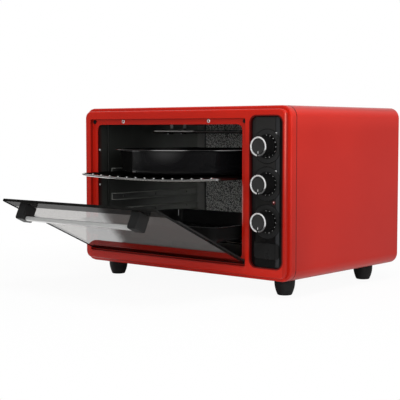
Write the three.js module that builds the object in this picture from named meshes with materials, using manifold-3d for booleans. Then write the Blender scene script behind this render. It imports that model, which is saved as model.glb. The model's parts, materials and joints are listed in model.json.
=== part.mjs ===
// A countertop electric oven with a drop-down glass door, in millimetres, +Z up, front towards -Y.
// The shelves stand pulled out and the door stands on its open stop, as in use.
import * as THREE from 'three';
import { mergeVertices } from 'three/addons/utils/BufferGeometryUtils.js';
import Module from 'manifold-3d';

const wasm = await Module();
wasm.setup();

// The whole body
const bodyWidth = 520;
const bodyHeight = 311;
const bodyDepth = 373;
const footHeight = 30;
const shellCorner = 21;
const sheet = 1;

// Clearances shared by all pieces
const seam = 0.3;
const overrun = 5;

// The front frame, a drawn sheet with a raised face and a rebate for the door
const frameDepth = 24;
const frameWall = 1.5;
const frameFaceInset = 6;
const frameFaceCorner = 14;
const frameFaceRound = 3.5;
const flangeFront = 9;
const flangeRound = 3;
const openingEdge = 34;
const openingDrop = 33;
const openingLift = 33.5;
const pillarWidth = 24.5;
const openingCorner = 11;
const ledgeSide = 13;
const ledgeTop = 11;
const rebateDepth = 8;
const rebateCorner = 3;

// The control panel, set into the frame
const panelWidth = 70;
const panelEdge = 14;
const panelDrop = 19;
const panelLift = 24;
const panelCorner = 12.5;
const panelRecess = 5.5;
const panelCrown = 2;
const panelChamfer = 10.5;
const panelThickness = 2.7;
const panelLedge = 4;
const dialRadius = 30;
const dialHeight = 0.8;
const dialBevel = 0.5;
const padWidth = 55;
const padHeight = 28;
const padBottom = 15.5;
const padProud = 1.4;
const padCorner = 6;

// Knobs and what they turn
const knobTopShare = 0.198;
const knobPitchShare = 0.2485;
const knobRadius = 17;
const knobSkirtRadius = 20;
const knobSkirtHeight = 3.5;
const knobSkirtEdge = 1.4;
const knobTipRadius = 15.6;
const knobLength = 24.5;
const knobFaceDish = 1;
const knobFaceBevel = 2.5;
const knobRingWidth = 4;
const knobRingDepth = 5;
const knobStandoff = 1;
const shaftRadius = 3;
const shaftInKnob = 14;
const shaftInSwitch = 12;
const switchNeckRadius = 4.7;
const switchRadius = 21;
const switchDepth = 26;
const clockworkDepth = 38;
const switchTagLength = 8;
const switchTagWidth = 5;
const switchTagSpread = 9;
const bracketSheet = 1.2;
const bracketInset = 2;
const bracketOverhang = 5;
const lensRadius = 3.2;
const lensProud = 1.8;
const lensOffsetX = 15;
const lensDropShare = 0.488;
const lampRadius = 5;
const lampLength = 16;

// The door, measured from its hinge axis
const doorOpenAngle = THREE.MathUtils.degToRad(65);
const glassThickness = 4;
const glassSetback = 1.2;
const doorSideGap = 2.5;
const doorTopGap = 1.5;
const doorBottomGap = 3;
const glassCorner = 8;
const hingeInset = 2.5;
const hingeRise = 3.5;
const armWidth = 10;
const armThickness = 2.5;
const armShare = 0.766;
const earRadius = 3.4;
const pinRadius = 1.5;
const pinReach = 6.5;
const bushWall = 3;
const handleReach = 30;
const handleEdgeGap = 7;
const handleBracketWidth = 20;
const handleBracketLength = 26;
const handleBracketRound = 4;
const handleInset = 44;
const handleShift = 4;
const barThickness = 8;
const barWidth = 10;
const barCorner = 3;
const barDrop = 4.5;
const barInBracket = 9;
const handleScrewRadius = 2;
const handleScrewHead = 3.8;
const handleScrewHeadHeight = 1.8;
const handleScrewCrown = 0.7;
const handleScrewDepth = 12;

// The cavity, five sheets behind the frame's ledge
const cavityRearGap = 38.2;
const cavityHeadroom = 10;
const cavityDrop = 5.5;
const cavityFlange = 9;
const foldDepth = 27;
const foldStep = 1.4;

// Runners, channels that open towards the middle of the oven
const runnerDepth = 13;
const runnerHeight = 14;
const runnerStart = 36;
const runnerBackGap = 25.5;
const runnerShares = { upper: 0.5654, middle: 0.3654, lower: 0.2462 };

// The wire rack and the pan on it
const rackRod = 2.5;
const rackWire = 1.6;
const rackWeld = 0.8;
const rackCorner = 12;
const rackPitch = 23.6;
const rackSag = 5.5;
const rackBrace = 2.2;
const rackBraceStations = 7;
const rackFrontStations = 12;
const rackEngagement = 5.7;
const shelfPull = 72;
const shelfBackGap = 10;
const shelfFrontGap = 10;
const panOverhang = 4.5;
const panSideGap = 23;
const panLip = 11;
const panHeight = 45;
const panTaper = 4;
const panCorner = 8;
const panWall = 1.2;

// The baking tray
const trayHeightShare = 0.469;
const trayWall = 1;
const trayLip = 8;
const trayCorner = 26;
const trayTaper = 5;
const trayFootRound = 6;
const trayBackGap = 17;
const trayFrontGap = 2;

// Heating elements, bent rods with their ends through the right wall
const heaterRod = 3.4;
const heaterLeftGap = 45.5;
const heaterSpread = 40;
const heaterDepthShare = 0.385;
const topHeaterDrop = 24;
const bottomHeaterRise = 20;
const heaterEnd = 15;
const heaterBushRadius = 7;
const heaterBushFlange = 3;
const hangerWidth = 7;
const hangerSheet = 1.2;
const hangerInset = 57;

// Rear panel, bottom plate, feet and buffers
const rearFlange = 12;
const rearSlotLength = 46;
const rearSlotHeight = 4;
const rearSlotPitch = 12;
const rearSlotRows = 9;
const rearSlotColumnShares = [-0.206, 0.063, 0.379];
const baseLip = 3;
const baseFlange = 14;
const baseSlotLength = 60;
const baseSlotWidth = 4;
const baseSlotPitch = 18;
const baseSlotRows = 5;
const footTopRadius = 19;
const footBottomRadius = 13;
const footEdge = 2;
const footCurveShares = [{ height: 0.3, flare: 0.62 }, { height: 0.55, flare: 0.92 }];
const footInsetX = 46;
const footFront = 54;
const footInsetBack = 55;
const bufferRadius = 4;
const bufferHeight = 2.2;
const bufferStem = 1.7;
const inletRadius = 9;
const inletBore = 4.2;
const inletLength = 16;
const inletFlange = 3;
const inletLift = 38;

// Resolution of round forms
const fine = 24;
const medium = 16;
const coarse = 10;
const slotSteps = 1;
const roundSteps = 2;
const rodSides = 7;
const wireSides = 5;
const cornerSteps = 4;

// Places worked out from the sizes above
const quarter = Math.PI / 2;
const halfWidth = bodyWidth / 2;
const bodyTop = footHeight + bodyHeight;
const panel = {
  left: halfWidth - panelEdge - panelWidth,
  right: halfWidth - panelEdge,
  bottom: footHeight + panelLift,
  top: bodyTop - panelDrop,
};
const opening = {
  left: openingEdge - halfWidth,
  right: panel.left - pillarWidth,
  bottom: footHeight + openingLift,
  top: bodyTop - openingDrop,
};
const rebate = {
  left: opening.left - ledgeSide,
  right: opening.right + ledgeSide,
  bottom: opening.bottom - ledgeTop,
  top: opening.top + ledgeTop,
};
const openingMiddle = (opening.left + opening.right) / 2;
const panelMiddle = (panel.left + panel.right) / 2;
const panelHeight = panel.top - panel.bottom;
const panelBack = panelRecess + panelThickness;
const panelFront = panelRecess - panelCrown;
const pocketFloor = panelBack + seam;
const bracketFront = pocketFloor + frameWall + seam;
const bracketBack = bracketFront + bracketSheet;
const knobBase = panelFront - dialHeight - knobStandoff;
const knobPitch = knobPitchShare * panelHeight;
const knobHeights = [0, 1, 2].map((place) => panel.top - knobTopShare * panelHeight - place * knobPitch);
const lensX = panelMiddle + lensOffsetX;
const lensZ = knobHeights[1] - lensDropShare * knobPitch;
const hinge = { y: glassSetback + hingeInset, z: rebate.bottom + doorBottomGap + hingeRise };
const glass = {
  left: rebate.left + doorSideGap,
  right: rebate.right - doorSideGap,
  bottom: -hingeRise,
  top: rebate.top - doorTopGap - hinge.z,
  outer: -hingeInset,
  inner: glassThickness - hingeInset,
};
const ledgeBack = rebateDepth + frameWall;
const cavity = {
  left: opening.left + sheet,
  right: opening.right - sheet,
  floor: opening.bottom - cavityDrop,
  roof: opening.top + cavityHeadroom,
  front: ledgeBack + seam,
  back: bodyDepth - cavityRearGap,
};
const cavityHeight = cavity.roof - cavity.floor;
const runnerFront = cavity.front + runnerStart;
const runnerBack = cavity.back - runnerBackGap;
const shelf = {
  left: cavity.left + seam + runnerDepth - rackEngagement,
  right: cavity.right - seam - runnerDepth + rackEngagement,
};
const rackBack = cavity.back - shelfBackGap - shelfPull;
const rackFront = cavity.front + shelfFrontGap - shelfPull;
const rackLength = rackBack - rackFront;
const rackRodZ = cavity.floor + runnerShares.upper * cavityHeight + sheet + seam + rackRod;
const wireRise = rackRod + rackWire - rackWeld;

// One quarter or more of a circle as points, both ends included
function arc(x, y, radius, from, to, steps = cornerSteps) {
  return Array.from({ length: steps + 1 }, (_, step) => {
    const angle = from + ((to - from) * step) / steps;
    return new THREE.Vector2(x + radius * Math.cos(angle), y + radius * Math.sin(angle));
  });
}

function roundedPoints(box, radius, steps = cornerSteps) {
  return [
    ...arc(box.right - radius, box.bottom + radius, radius, -quarter, 0, steps),
    ...arc(box.right - radius, box.top - radius, radius, 0, quarter, steps),
    ...arc(box.left + radius, box.top - radius, radius, quarter, 2 * quarter, steps),
    ...arc(box.left + radius, box.bottom + radius, radius, 2 * quarter, 3 * quarter, steps),
  ];
}

function roundedRect(box, radius, steps = cornerSteps) {
  return new THREE.Shape(roundedPoints(box, radius, steps));
}

function rect(left, bottom, right, top) {
  const points = [[left, bottom], [right, bottom], [right, top], [left, top]];
  return new THREE.Shape(points.map(([x, y]) => new THREE.Vector2(x, y)));
}

function polygon(points) {
  return new THREE.Shape(points.map(([x, y]) => new THREE.Vector2(x, y)));
}

function grown(box, by) {
  return { left: box.left - by, right: box.right + by, bottom: box.bottom - by, top: box.top + by };
}

function centred(x, y, width, height) {
  return { left: x - width / 2, right: x + width / 2, bottom: y - height / 2, top: y + height / 2 };
}

// A flat outline pulled along its normal, with both ends rounded over where a radius is given
function pulled(shape, length, round = 0) {
  return new THREE.ExtrudeGeometry(shape, {
    depth: length - 2 * round,
    bevelEnabled: round > 0,
    bevelThickness: round,
    bevelSize: round,
    bevelOffset: -round,
    bevelSegments: roundSteps,
    steps: 1,
  }).translate(0, 0, round);
}

// The outline lies in X and Z, and the solid runs from front to back
function deep(shape, front, back, round = 0) {
  return pulled(shape, back - front, round).rotateX(quarter).translate(0, back, 0);
}

// The outline lies in Y and Z, and the solid runs from left to right
function wide(shape, left, right, round = 0) {
  const turn = new THREE.Matrix4().makeBasis(
    new THREE.Vector3(0, 1, 0), new THREE.Vector3(0, 0, 1), new THREE.Vector3(1, 0, 0));
  return pulled(shape, right - left, round).applyMatrix4(turn).translate(left, 0, 0);
}

// The outline lies in X and Y, and the solid runs upwards
function tall(shape, bottom, top, round = 0) {
  return pulled(shape, top - bottom, round).translate(0, 0, bottom);
}

// A profile of radius and height turned about the vertical axis
function turned(profile, segments = medium) {
  const points = profile.map(([radius, height]) => new THREE.Vector2(radius, height));
  return new THREE.LatheGeometry(points, segments).rotateX(quarter);
}

// The same, turned about the front to back axis, with heights counted towards the front
function turnedToFront(profile, x, y, z, segments = medium) {
  return turned(profile, segments).rotateX(quarter).translate(x, y, z);
}

function pinAlongX(left, right, y, z, radius, segments = medium) {
  return wide(new THREE.Shape(circlePoints(y, z, radius, segments)), left, right);
}

function pinAlongY(front, back, x, z, radius, segments = medium) {
  return deep(new THREE.Shape(circlePoints(x, z, radius, segments)), front, back);
}

function circlePoints(x, y, radius, segments) {
  return arc(x, y, radius, 0, 4 * quarter, segments).slice(0, -1);
}

// A path that has its sections exactly at the given points
class StationPath extends THREE.Curve {
  constructor(points) {
    super();
    this.points = points;
  }

  getPoint(share, target = new THREE.Vector3()) {
    const place = share * (this.points.length - 1);
    const first = Math.min(Math.floor(place), this.points.length - 2);
    return target.lerpVectors(this.points[first], this.points[first + 1], place - first);
  }

  getPointAt(share, target) {
    return this.getPoint(share, target);
  }

  getTangentAt(share, target = new THREE.Vector3()) {
    const last = this.points.length - 1;
    const place = Math.round(share * last);
    const here = this.points[place];
    const before = place > 0 ? here.clone().sub(this.points[place - 1]).normalize() : new THREE.Vector3();
    const after = place < last ? this.points[place + 1].clone().sub(here).normalize() : new THREE.Vector3();
    return target.addVectors(before, after).normalize();
  }
}

function rod(points, radius, sides = rodSides) {
  const path = new StationPath(points);
  const section = new THREE.Shape(circlePoints(0, 0, radius, sides));
  return new THREE.ExtrudeGeometry(section, { steps: points.length - 1, extrudePath: path });
}

// A polyline in one horizontal plane with its inner corners turned into arcs
function bent(corners, radius, steps = cornerSteps) {
  const points = [corners[0].clone()];
  for (let place = 1; place < corners.length - 1; place += 1) {
    const corner = corners[place];
    const back = corners[place - 1].clone().sub(corner).normalize();
    const on = corners[place + 1].clone().sub(corner).normalize();
    const centre = corner.clone().addScaledVector(back, radius).addScaledVector(on, radius);
    for (let step = 0; step <= steps; step += 1) {
      const angle = (quarter * step) / steps;
      points.push(centre.clone().addScaledVector(on, -radius * Math.cos(angle))
        .addScaledVector(back, -radius * Math.sin(angle)));
    }
  }
  points.push(corners[corners.length - 1].clone());
  return points;
}

// Rings of points joined one to the next, and closed at both ends
function loft(rings) {
  const count = rings[0].length;
  const positions = rings.flat().flatMap((point) => [point.x, point.y, point.z]);
  const indices = [];
  for (let ring = 0; ring < rings.length - 1; ring += 1) {
    for (let place = 0; place < count; place += 1) {
      const next = (place + 1) % count;
      const low = ring * count;
      const high = low + count;
      indices.push(low + place, low + next, high + next, low + place, high + next, high + place);
    }
  }
  const last = (rings.length - 1) * count;
  for (let place = 1; place < count - 1; place += 1) {
    indices.push(0, place + 1, place, last, last + place, last + place + 1);
  }
  const geometry = new THREE.BufferGeometry();
  geometry.setAttribute('position', new THREE.Float32BufferAttribute(positions, 3));
  geometry.setIndex(indices);
  return geometry;
}

function toSolid(geometry) {
  const plain = geometry.clone();
  plain.deleteAttribute('normal');
  plain.deleteAttribute('uv');
  const merged = mergeVertices(plain);
  const vertProperties = new Float32Array(merged.attributes.position.array);
  const triVerts = new Uint32Array(merged.index.array);
  return new wasm.Manifold(new wasm.Mesh({ numProp: 3, vertProperties, triVerts }));
}

function toGeometry(solid) {
  const data = solid.getMesh();
  const geometry = new THREE.BufferGeometry();
  geometry.setAttribute('position', new THREE.Float32BufferAttribute(data.vertProperties, 3));
  geometry.setIndex(new THREE.Uint32BufferAttribute(data.triVerts, 1));
  return geometry;
}

function joined(...geometries) {
  return toGeometry(geometries.map(toSolid).reduce((whole, piece) => whole.add(piece)));
}

function cut(geometry, ...tools) {
  return toGeometry(tools.map(toSolid).reduce((whole, tool) => whole.subtract(tool), toSolid(geometry)));
}

const oven = new THREE.Group();
const door = new THREE.Group();
door.position.set(0, hinge.y, hinge.z);
door.rotation.x = doorOpenAngle;
oven.add(door);

const redPaint = { color: 0xb32a24, roughness: 0.25, metalness: 0.1 };
const redPlastic = { color: 0xc01810, roughness: 0.15, metalness: 0 };
const blackPlastic = { color: 0x141414, roughness: 0.4, metalness: 0 };
const glossBlack = { color: 0x08080a, roughness: 0.12, metalness: 0 };
const enamel = { color: 0x1c1e1d, roughness: 0.35, metalness: 0.2 };
const greyEnamel = { color: 0x6b6a66, roughness: 0.5, metalness: 0.5 };
const chrome = { color: 0xd9dadb, roughness: 0.12, metalness: 1 };
const steel = { color: 0x9c9ea0, roughness: 0.4, metalness: 1 };
const aluminium = { color: 0xb9bab8, roughness: 0.3, metalness: 1 };
const ceramic = { color: 0xe6e2d8, roughness: 0.5, metalness: 0 };
const smokedGlass = { color: 0x4a4b49, roughness: 0.05, metalness: 0 };

function place(name, geometry, finish, group = oven) {
  const mesh = new THREE.Mesh(geometry, new THREE.MeshStandardMaterial(finish));
  mesh.name = name;
  group.add(mesh);
}

// The frame's outer form: a flange as wide as the shell, and a face set in from it.
// Shrunk by the wall on all sides, the same form is the hollow behind the sheet.
function frameForm(shrink) {
  const outline = centred(0, footHeight + bodyHeight / 2, bodyWidth - 2 * shrink, bodyHeight - 2 * shrink);
  const flange = deep(roundedRect(outline, shellCorner - shrink), flangeFront + shrink,
    frameDepth + overrun, flangeRound);
  const face = deep(roundedRect(grown(outline, -frameFaceInset), frameFaceCorner - shrink), shrink,
    flangeFront + shrink + overrun, frameFaceRound);
  const doorPocket = deep(roundedRect(grown(rebate, shrink), rebateCorner + shrink), -overrun,
    rebateDepth + shrink);
  const panelPocket = deep(roundedRect(grown(panel, seam + shrink), panelCorner + seam + shrink), -overrun,
    pocketFloor + shrink);
  return cut(joined(flange, face), doorPocket, panelPocket);
}

// Places on the ledge where the door's buffers go
const bufferInset = ledgeSide / 2 - doorSideGap;
const bufferPlaces = [rebate.left + doorSideGap + bufferInset, rebate.right - doorSideGap - bufferInset];
const ledgeMiddle = opening.top + ledgeTop / 2;

function frontFrame() {
  const trim = deep(rect(-bodyWidth, -bodyHeight, bodyWidth, 2 * bodyTop), frameDepth, bodyDepth);
  const ovenHole = deep(roundedRect(opening, openingCorner), -overrun, bodyDepth);
  const panelHole = deep(roundedRect(grown(panel, -panelLedge), panelCorner - panelLedge), -overrun,
    bodyDepth);
  const pinHoles = [[rebate.left - frameWall - overrun, rebate.left + overrun],
    [rebate.right - overrun, rebate.right + frameWall + overrun]]
    .map(([left, right]) => pinAlongX(left, right, hinge.y, hinge.z, pinRadius + seam, coarse));
  const stemHoles = bufferPlaces
    .map((x) => pinAlongY(0, frameDepth, x, ledgeMiddle, bufferStem + seam, coarse));
  return cut(frameForm(0), frameForm(frameWall), trim, ovenHole, panelHole, ...pinHoles, ...stemHoles);
}

place('front_frame', frontFrame(), redPaint);

// The shell wraps the top and sides and turns in under the body, where the bottom plate closes it
const baseHalf = halfWidth - shellCorner - baseLip;

function outerShell() {
  const outline = centred(0, footHeight + bodyHeight / 2, bodyWidth, bodyHeight);
  const front = frameDepth + seam;
  const outer = deep(roundedRect(outline, shellCorner, 2 * cornerSteps), front, bodyDepth);
  const inner = deep(roundedRect(grown(outline, -sheet), shellCorner - sheet, 2 * cornerSteps),
    front - overrun, bodyDepth + overrun);
  const gap = deep(rect(-baseHalf - seam, footHeight - overrun, baseHalf + seam, footHeight + overrun),
    front - overrun, bodyDepth + overrun);
  return cut(outer, inner, gap);
}

function slotRow(count, pitch, middle, makeSlot) {
  const start = middle - (pitch * (count - 1)) / 2;
  return Array.from({ length: count }, (_, place) => makeSlot(start + place * pitch));
}

function basePlate() {
  const front = frameDepth + seam;
  const profile = polygon([
    [-baseHalf, footHeight], [baseHalf, footHeight], [baseHalf, footHeight + baseFlange],
    [baseHalf - sheet, footHeight + baseFlange], [baseHalf - sheet, footHeight + sheet],
    [sheet - baseHalf, footHeight + sheet], [sheet - baseHalf, footHeight + baseFlange],
    [-baseHalf, footHeight + baseFlange]]);
  const middle = (front + bodyDepth) / 2;
  const columns = [-baseHalf / 2, 0, baseHalf / 2];
  const slots = slotRow(baseSlotRows, baseSlotPitch, middle, (y) => columns.map((x) =>
    tall(roundedRect(centred(x, y, baseSlotLength, baseSlotWidth), baseSlotWidth / 2, slotSteps),
      footHeight - overrun, footHeight + sheet + overrun)));
  const rearNotch = deep(rect(-bodyWidth, footHeight + sheet, bodyWidth, bodyTop),
    bodyDepth - rearFlange - seam, bodyDepth);
  return cut(deep(profile, front, bodyDepth - sheet - seam), rearNotch, ...slots.flat());
}

place('outer_shell', outerShell(), redPaint);
place('base_plate', basePlate(), steel);

// The rear panel is a shallow pan inside the shell, with louvre slots and the lead's inlet
const rearOutline = grown(centred(0, footHeight + bodyHeight / 2, bodyWidth, bodyHeight), -sheet - seam);
const rearCorner = shellCorner - sheet - seam;
const inletX = panelMiddle;
const inletZ = footHeight + inletLift;

function rearPanel() {
  const pan = deep(roundedRect(rearOutline, rearCorner), bodyDepth - rearFlange, bodyDepth);
  const hollow = deep(roundedRect(grown(rearOutline, -sheet), rearCorner - sheet),
    bodyDepth - rearFlange - overrun, bodyDepth - sheet);
  const slotTop = bodyTop - shellCorner - rearSlotPitch * rearSlotRows / 2;
  const slots = rearSlotColumnShares.flatMap((share) =>
    slotRow(rearSlotRows, rearSlotPitch, slotTop, (z) =>
      deep(roundedRect(centred(share * bodyWidth, z, rearSlotLength, rearSlotHeight), rearSlotHeight / 2,
        slotSteps), bodyDepth - sheet - overrun, bodyDepth + overrun)));
  const inlet = pinAlongY(bodyDepth - sheet - overrun, bodyDepth + overrun, inletX, inletZ,
    inletRadius + seam);
  return cut(pan, hollow, inlet, ...slots);
}

place('rear_panel', rearPanel(), steel);

function inletBush() {
  const back = bodyDepth + inletFlange;
  return turnedToFront([
    [inletBore, 0], [inletRadius + inletFlange, 0], [inletRadius + inletFlange, inletFlange - seam],
    [inletRadius, inletFlange - seam], [inletRadius, inletLength], [inletBore, inletLength],
    [inletBore, 0]], inletX, back, inletZ);
}

place('inlet_bush', inletBush(), blackPlastic);

// The panel has a flat middle and long sides that slope back, with a round boss behind each knob
function controlPanel() {
  const outline = deep(roundedRect(panel, panelCorner), panelFront - overrun, panelBack);
  const section = polygon([
    [panel.left, panelBack], [panel.left, panelRecess], [panel.left + panelChamfer, panelFront],
    [panel.right - panelChamfer, panelFront], [panel.right, panelRecess],
    [panel.right, panelBack]].reverse());
  const body = toGeometry(toSolid(outline).intersect(toSolid(tall(section, panel.bottom, panel.top))));
  const bosses = knobHeights.map((z) => turnedToFront([
    [0, 0], [dialRadius, 0], [dialRadius, panelBack - panelFront + dialHeight - dialBevel - seam],
    [dialRadius - dialBevel, panelBack - panelFront + dialHeight - seam],
    [0, panelBack - panelFront + dialHeight - seam]], panelMiddle, panelBack - seam, z, fine));
  const padBox = centred(panelMiddle, panel.bottom + padBottom + padHeight / 2, padWidth, padHeight);
  const pad = deep(roundedRect(padBox, padCorner), panelFront - padProud, panelBack - seam, dialBevel);
  const necks = knobHeights.map((z) =>
    pinAlongY(panelFront - overrun, panelBack + overrun, panelMiddle, z, switchNeckRadius + seam));
  const lensHole = pinAlongY(panelFront - overrun, panelBack + overrun, lensX, lensZ, lensRadius + seam);
  return cut(joined(body, ...bosses, pad), ...necks, lensHole);
}

place('control_panel', controlPanel(), blackPlastic);

function indicatorLens() {
  const radius = lensRadius;
  const front = panelBack - panelFront;
  const dome = arc(0, front, lensProud, quarter, 0).map((point) =>
    [point.x * (radius / lensProud), point.y]);
  return turnedToFront([[0, 0], [radius, 0], ...dome.reverse()], lensX, panelBack, lensZ, medium);
}

const bracketBox = {
  left: panel.left + bracketInset,
  right: panel.right - bracketInset,
  bottom: knobHeights[2] - switchRadius - bracketOverhang,
  top: knobHeights[0] + switchRadius + bracketOverhang,
};

function controlBracket() {
  const holes = knobHeights.map((z) =>
    pinAlongY(bracketFront - overrun, bracketBack + overrun, panelMiddle, z, switchNeckRadius + seam));
  const lamp = pinAlongY(bracketFront - overrun, bracketBack + overrun, lensX, lensZ, lampRadius + seam);
  return cut(deep(roundedRect(bracketBox, bracketInset), bracketFront, bracketBack), ...holes, lamp);
}

place('indicator_lens', indicatorLens(), redPlastic);
const lampHolder = pinAlongY(panelBack + seam, panelBack + lampLength, lensX, lensZ, lampRadius);
place('indicator_lamp', lampHolder, ceramic);
place('control_bracket', controlBracket(), steel);

// A switch is a round case behind the bracket, with a neck through it and flat tags at its back
function switchCase(z, depth) {
  const front = bracketBack + seam;
  const back = front + depth;
  const neckFront = panelFront - dialHeight + seam;
  const body = turnedToFront([
    [0, 0], [switchRadius - dialHeight, 0], [switchRadius, dialHeight], [switchRadius, depth],
    [switchNeckRadius, depth], [switchNeckRadius, back - neckFront], [0, back - neckFront]],
  panelMiddle, back, z, medium);
  const tags = [-switchTagSpread, 0, switchTagSpread].map((x) =>
    deep(rect(panelMiddle + x - switchTagWidth / 2, z - sheet / 2, panelMiddle + x + switchTagWidth / 2,
      z + sheet / 2), back - sheet, back + switchTagLength));
  const bore = pinAlongY(neckFront - overrun, neckFront + shaftInSwitch, panelMiddle, z, shaftRadius + seam);
  return cut(joined(body, ...tags), bore);
}

// The knob is a tapered grip on a thin skirt, with a dished face inside a bright ring
function knobBody(z) {
  const ringSeat = knobLength - knobRingDepth;
  const ringInner = knobRadius - knobRingWidth + seam;
  const shape = turnedToFront([
    [0, 0], [knobSkirtRadius, 0], [knobSkirtRadius, knobSkirtEdge],
    [knobRadius + sheet, knobSkirtHeight], [knobTipRadius, ringSeat - seam],
    [ringInner - 2 * seam, ringSeat - seam], [ringInner - 2 * seam, knobLength - knobFaceDish],
    [ringInner - knobFaceBevel, knobLength - knobFaceDish - seam], [0, knobLength - knobFaceDish - seam]],
  panelMiddle, knobBase, z, fine);
  const bore = pinAlongY(knobBase - shaftInKnob - seam, knobBase + overrun, panelMiddle, z,
    shaftRadius + seam);
  return cut(shape, bore);
}

function knobRing(z) {
  const inner = knobRadius - knobRingWidth + seam;
  const outer = knobRadius + sheet;
  const seat = knobLength - knobRingDepth;
  return turnedToFront([
    [inner, seat], [knobTipRadius, seat], [outer, seat + sheet], [outer, knobLength - sheet],
    [outer - sheet, knobLength], [inner + sheet, knobLength], [inner, knobLength - sheet], [inner, seat]],
  panelMiddle, knobBase, z, fine);
}

function knobShaft(z) {
  const front = knobBase - shaftInKnob;
  const back = panelFront - dialHeight + seam + shaftInSwitch - seam;
  return pinAlongY(front, back, panelMiddle, z, shaftRadius, coarse);
}

const controls = [
  { knob: 'thermostat', part: 'thermostat', depth: switchDepth },
  { knob: 'selector', part: 'selector_switch', depth: switchDepth },
  { knob: 'timer', part: 'timer', depth: clockworkDepth },
];
controls.forEach(({ knob, part, depth }, order) => {
  const z = knobHeights[order];
  place(`${knob}_knob`, knobBody(z), blackPlastic);
  place(`${knob}_knob_ring`, knobRing(z), chrome);
  place(`${knob}_shaft`, knobShaft(z), steel);
  place(part === knob ? `${part}_body` : part, switchCase(z, depth), steel);
});

// Hinge bushes stand in the hollow behind the frame's face and take the door's pins
function hingeBush(side) {
  const wall = side < 0 ? rebate.left - frameWall - seam : rebate.right + frameWall + seam;
  const end = wall + side * (pinReach + bushWall - frameWall);
  const half = pinRadius + bushWall;
  const low = frameWall + seam;
  const block = wide(rect(low, hinge.z - half, 2 * hinge.y + half - low, hinge.z + half),
    Math.min(wall, end), Math.max(wall, end));
  const bore = pinAlongX(Math.min(wall - side * overrun, wall + side * pinReach),
    Math.max(wall - side * overrun, wall + side * pinReach), hinge.y, hinge.z, pinRadius + seam, coarse);
  return cut(block, bore);
}

place('hinge_bush_left', hingeBush(-1), blackPlastic);
place('hinge_bush_right', hingeBush(1), blackPlastic);

// Door pieces, drawn with the door closed and the hinge axis at the origin
const bracketPlaces = [glass.left + handleInset + handleShift, glass.right - handleInset + handleShift];
const bracketTop = glass.top - handleEdgeGap;
const bracketMiddle = bracketTop - handleBracketLength / 2;
const barZ = bracketMiddle;
const barY = glass.outer - handleReach + barDrop;
const leftBracket = { left: bracketPlaces[0], right: bracketPlaces[0] + handleBracketWidth };
const rightBracket = { left: bracketPlaces[1] - handleBracketWidth, right: bracketPlaces[1] };
const handleScrewPlaces = [leftBracket, rightBracket].map((box) => (box.left + box.right) / 2);

function doorGlass() {
  const pane = deep(roundedRect(glass, glassCorner), glass.outer, glass.inner, 2 * seam);
  const holes = handleScrewPlaces.map((x) =>
    pinAlongY(glass.outer - overrun, glass.inner + overrun, x, bracketMiddle, handleScrewRadius + seam,
      coarse));
  return cut(pane, ...holes);
}

// The arm lies on the inner face along the side edge, and ends in an ear with the hinge pin
function hingeArm(side) {
  const edge = side < 0 ? glass.left : glass.right;
  const strapInner = edge - side * armWidth;
  const strap = wide(rect(glass.inner + seam, 0, glass.inner + armThickness, armShare * glass.top),
    Math.min(edge, strapInner), Math.max(edge, strapInner));
  const earInner = edge + side * seam;
  const earOuter = edge + side * (doorSideGap - seam);
  const ear = pinAlongX(Math.min(earInner, earOuter), Math.max(earInner, earOuter), 0, 0, earRadius, medium);
  const link = wide(rect(glass.inner + seam, 0, glass.inner + armThickness, 2 * earRadius),
    Math.min(strapInner, earOuter), Math.max(strapInner, earOuter));
  const cheek = wide(rect(0, 0, glass.inner + armThickness, earRadius),
    Math.min(earInner, earOuter), Math.max(earInner, earOuter));
  const pinEnd = edge + side * (doorSideGap + pinReach);
  const pin = pinAlongX(Math.min(earInner, pinEnd), Math.max(earInner, pinEnd), 0, 0, pinRadius, coarse);
  return joined(strap, ear, link, cheek, pin);
}

function barSection(grow) {
  const box = centred(barY, barZ, barThickness + 2 * grow, barWidth + 2 * grow);
  return roundedRect(box, barCorner + grow);
}

function handleBracket(box, side) {
  const outline = {
    left: glass.outer - handleReach, right: glass.outer - seam,
    bottom: bracketTop - handleBracketLength, top: bracketTop,
  };
  const block = wide(new THREE.Shape([
    ...arc(outline.left + handleBracketRound, outline.top - handleBracketRound, handleBracketRound,
      quarter, 2 * quarter),
    ...arc(outline.left + handleBracketRound, outline.bottom + handleBracketRound, handleBracketRound,
      2 * quarter, 3 * quarter),
    new THREE.Vector2(outline.right, outline.bottom),
    new THREE.Vector2(outline.right, outline.top)]), box.left, box.right, sheet);
  const mouth = side < 0 ? box.right : box.left;
  const deepest = mouth + side * (barInBracket + seam);
  const open = mouth - side * overrun;
  const pocket = wide(barSection(seam), Math.min(deepest, open), Math.max(deepest, open));
  const bore = pinAlongY(glass.outer - handleScrewDepth - seam, glass.outer + overrun,
    (box.left + box.right) / 2, bracketMiddle, handleScrewRadius + seam, coarse);
  return cut(block, pocket, bore);
}

const handleBar = wide(barSection(0), leftBracket.right - barInBracket, rightBracket.left + barInBracket);
const handleScrew = (x) => turnedToFront([
  [0, 0], [handleScrewHead - handleScrewCrown, 0], [handleScrewHead, handleScrewCrown],
  [handleScrewHead, handleScrewHeadHeight - seam], [handleScrewRadius, handleScrewHeadHeight - seam],
  [handleScrewRadius, handleScrewHeadHeight + glassThickness + handleScrewDepth],
  [0, handleScrewHeadHeight + glassThickness + handleScrewDepth]],
x, glass.inner + handleScrewHeadHeight, bracketMiddle, coarse);

place('door_glass', doorGlass(), smokedGlass, door);
place('hinge_arm_left', hingeArm(-1), steel, door);
place('hinge_arm_right', hingeArm(1), steel, door);
place('handle_bracket_left', handleBracket(leftBracket, -1), blackPlastic, door);
place('handle_bracket_right', handleBracket(rightBracket, 1), blackPlastic, door);
place('handle_bar', handleBar, aluminium, door);
place('handle_screw_left', handleScrew(handleScrewPlaces[0]), chrome, door);
place('handle_screw_right', handleScrew(handleScrewPlaces[1]), chrome, door);

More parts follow.
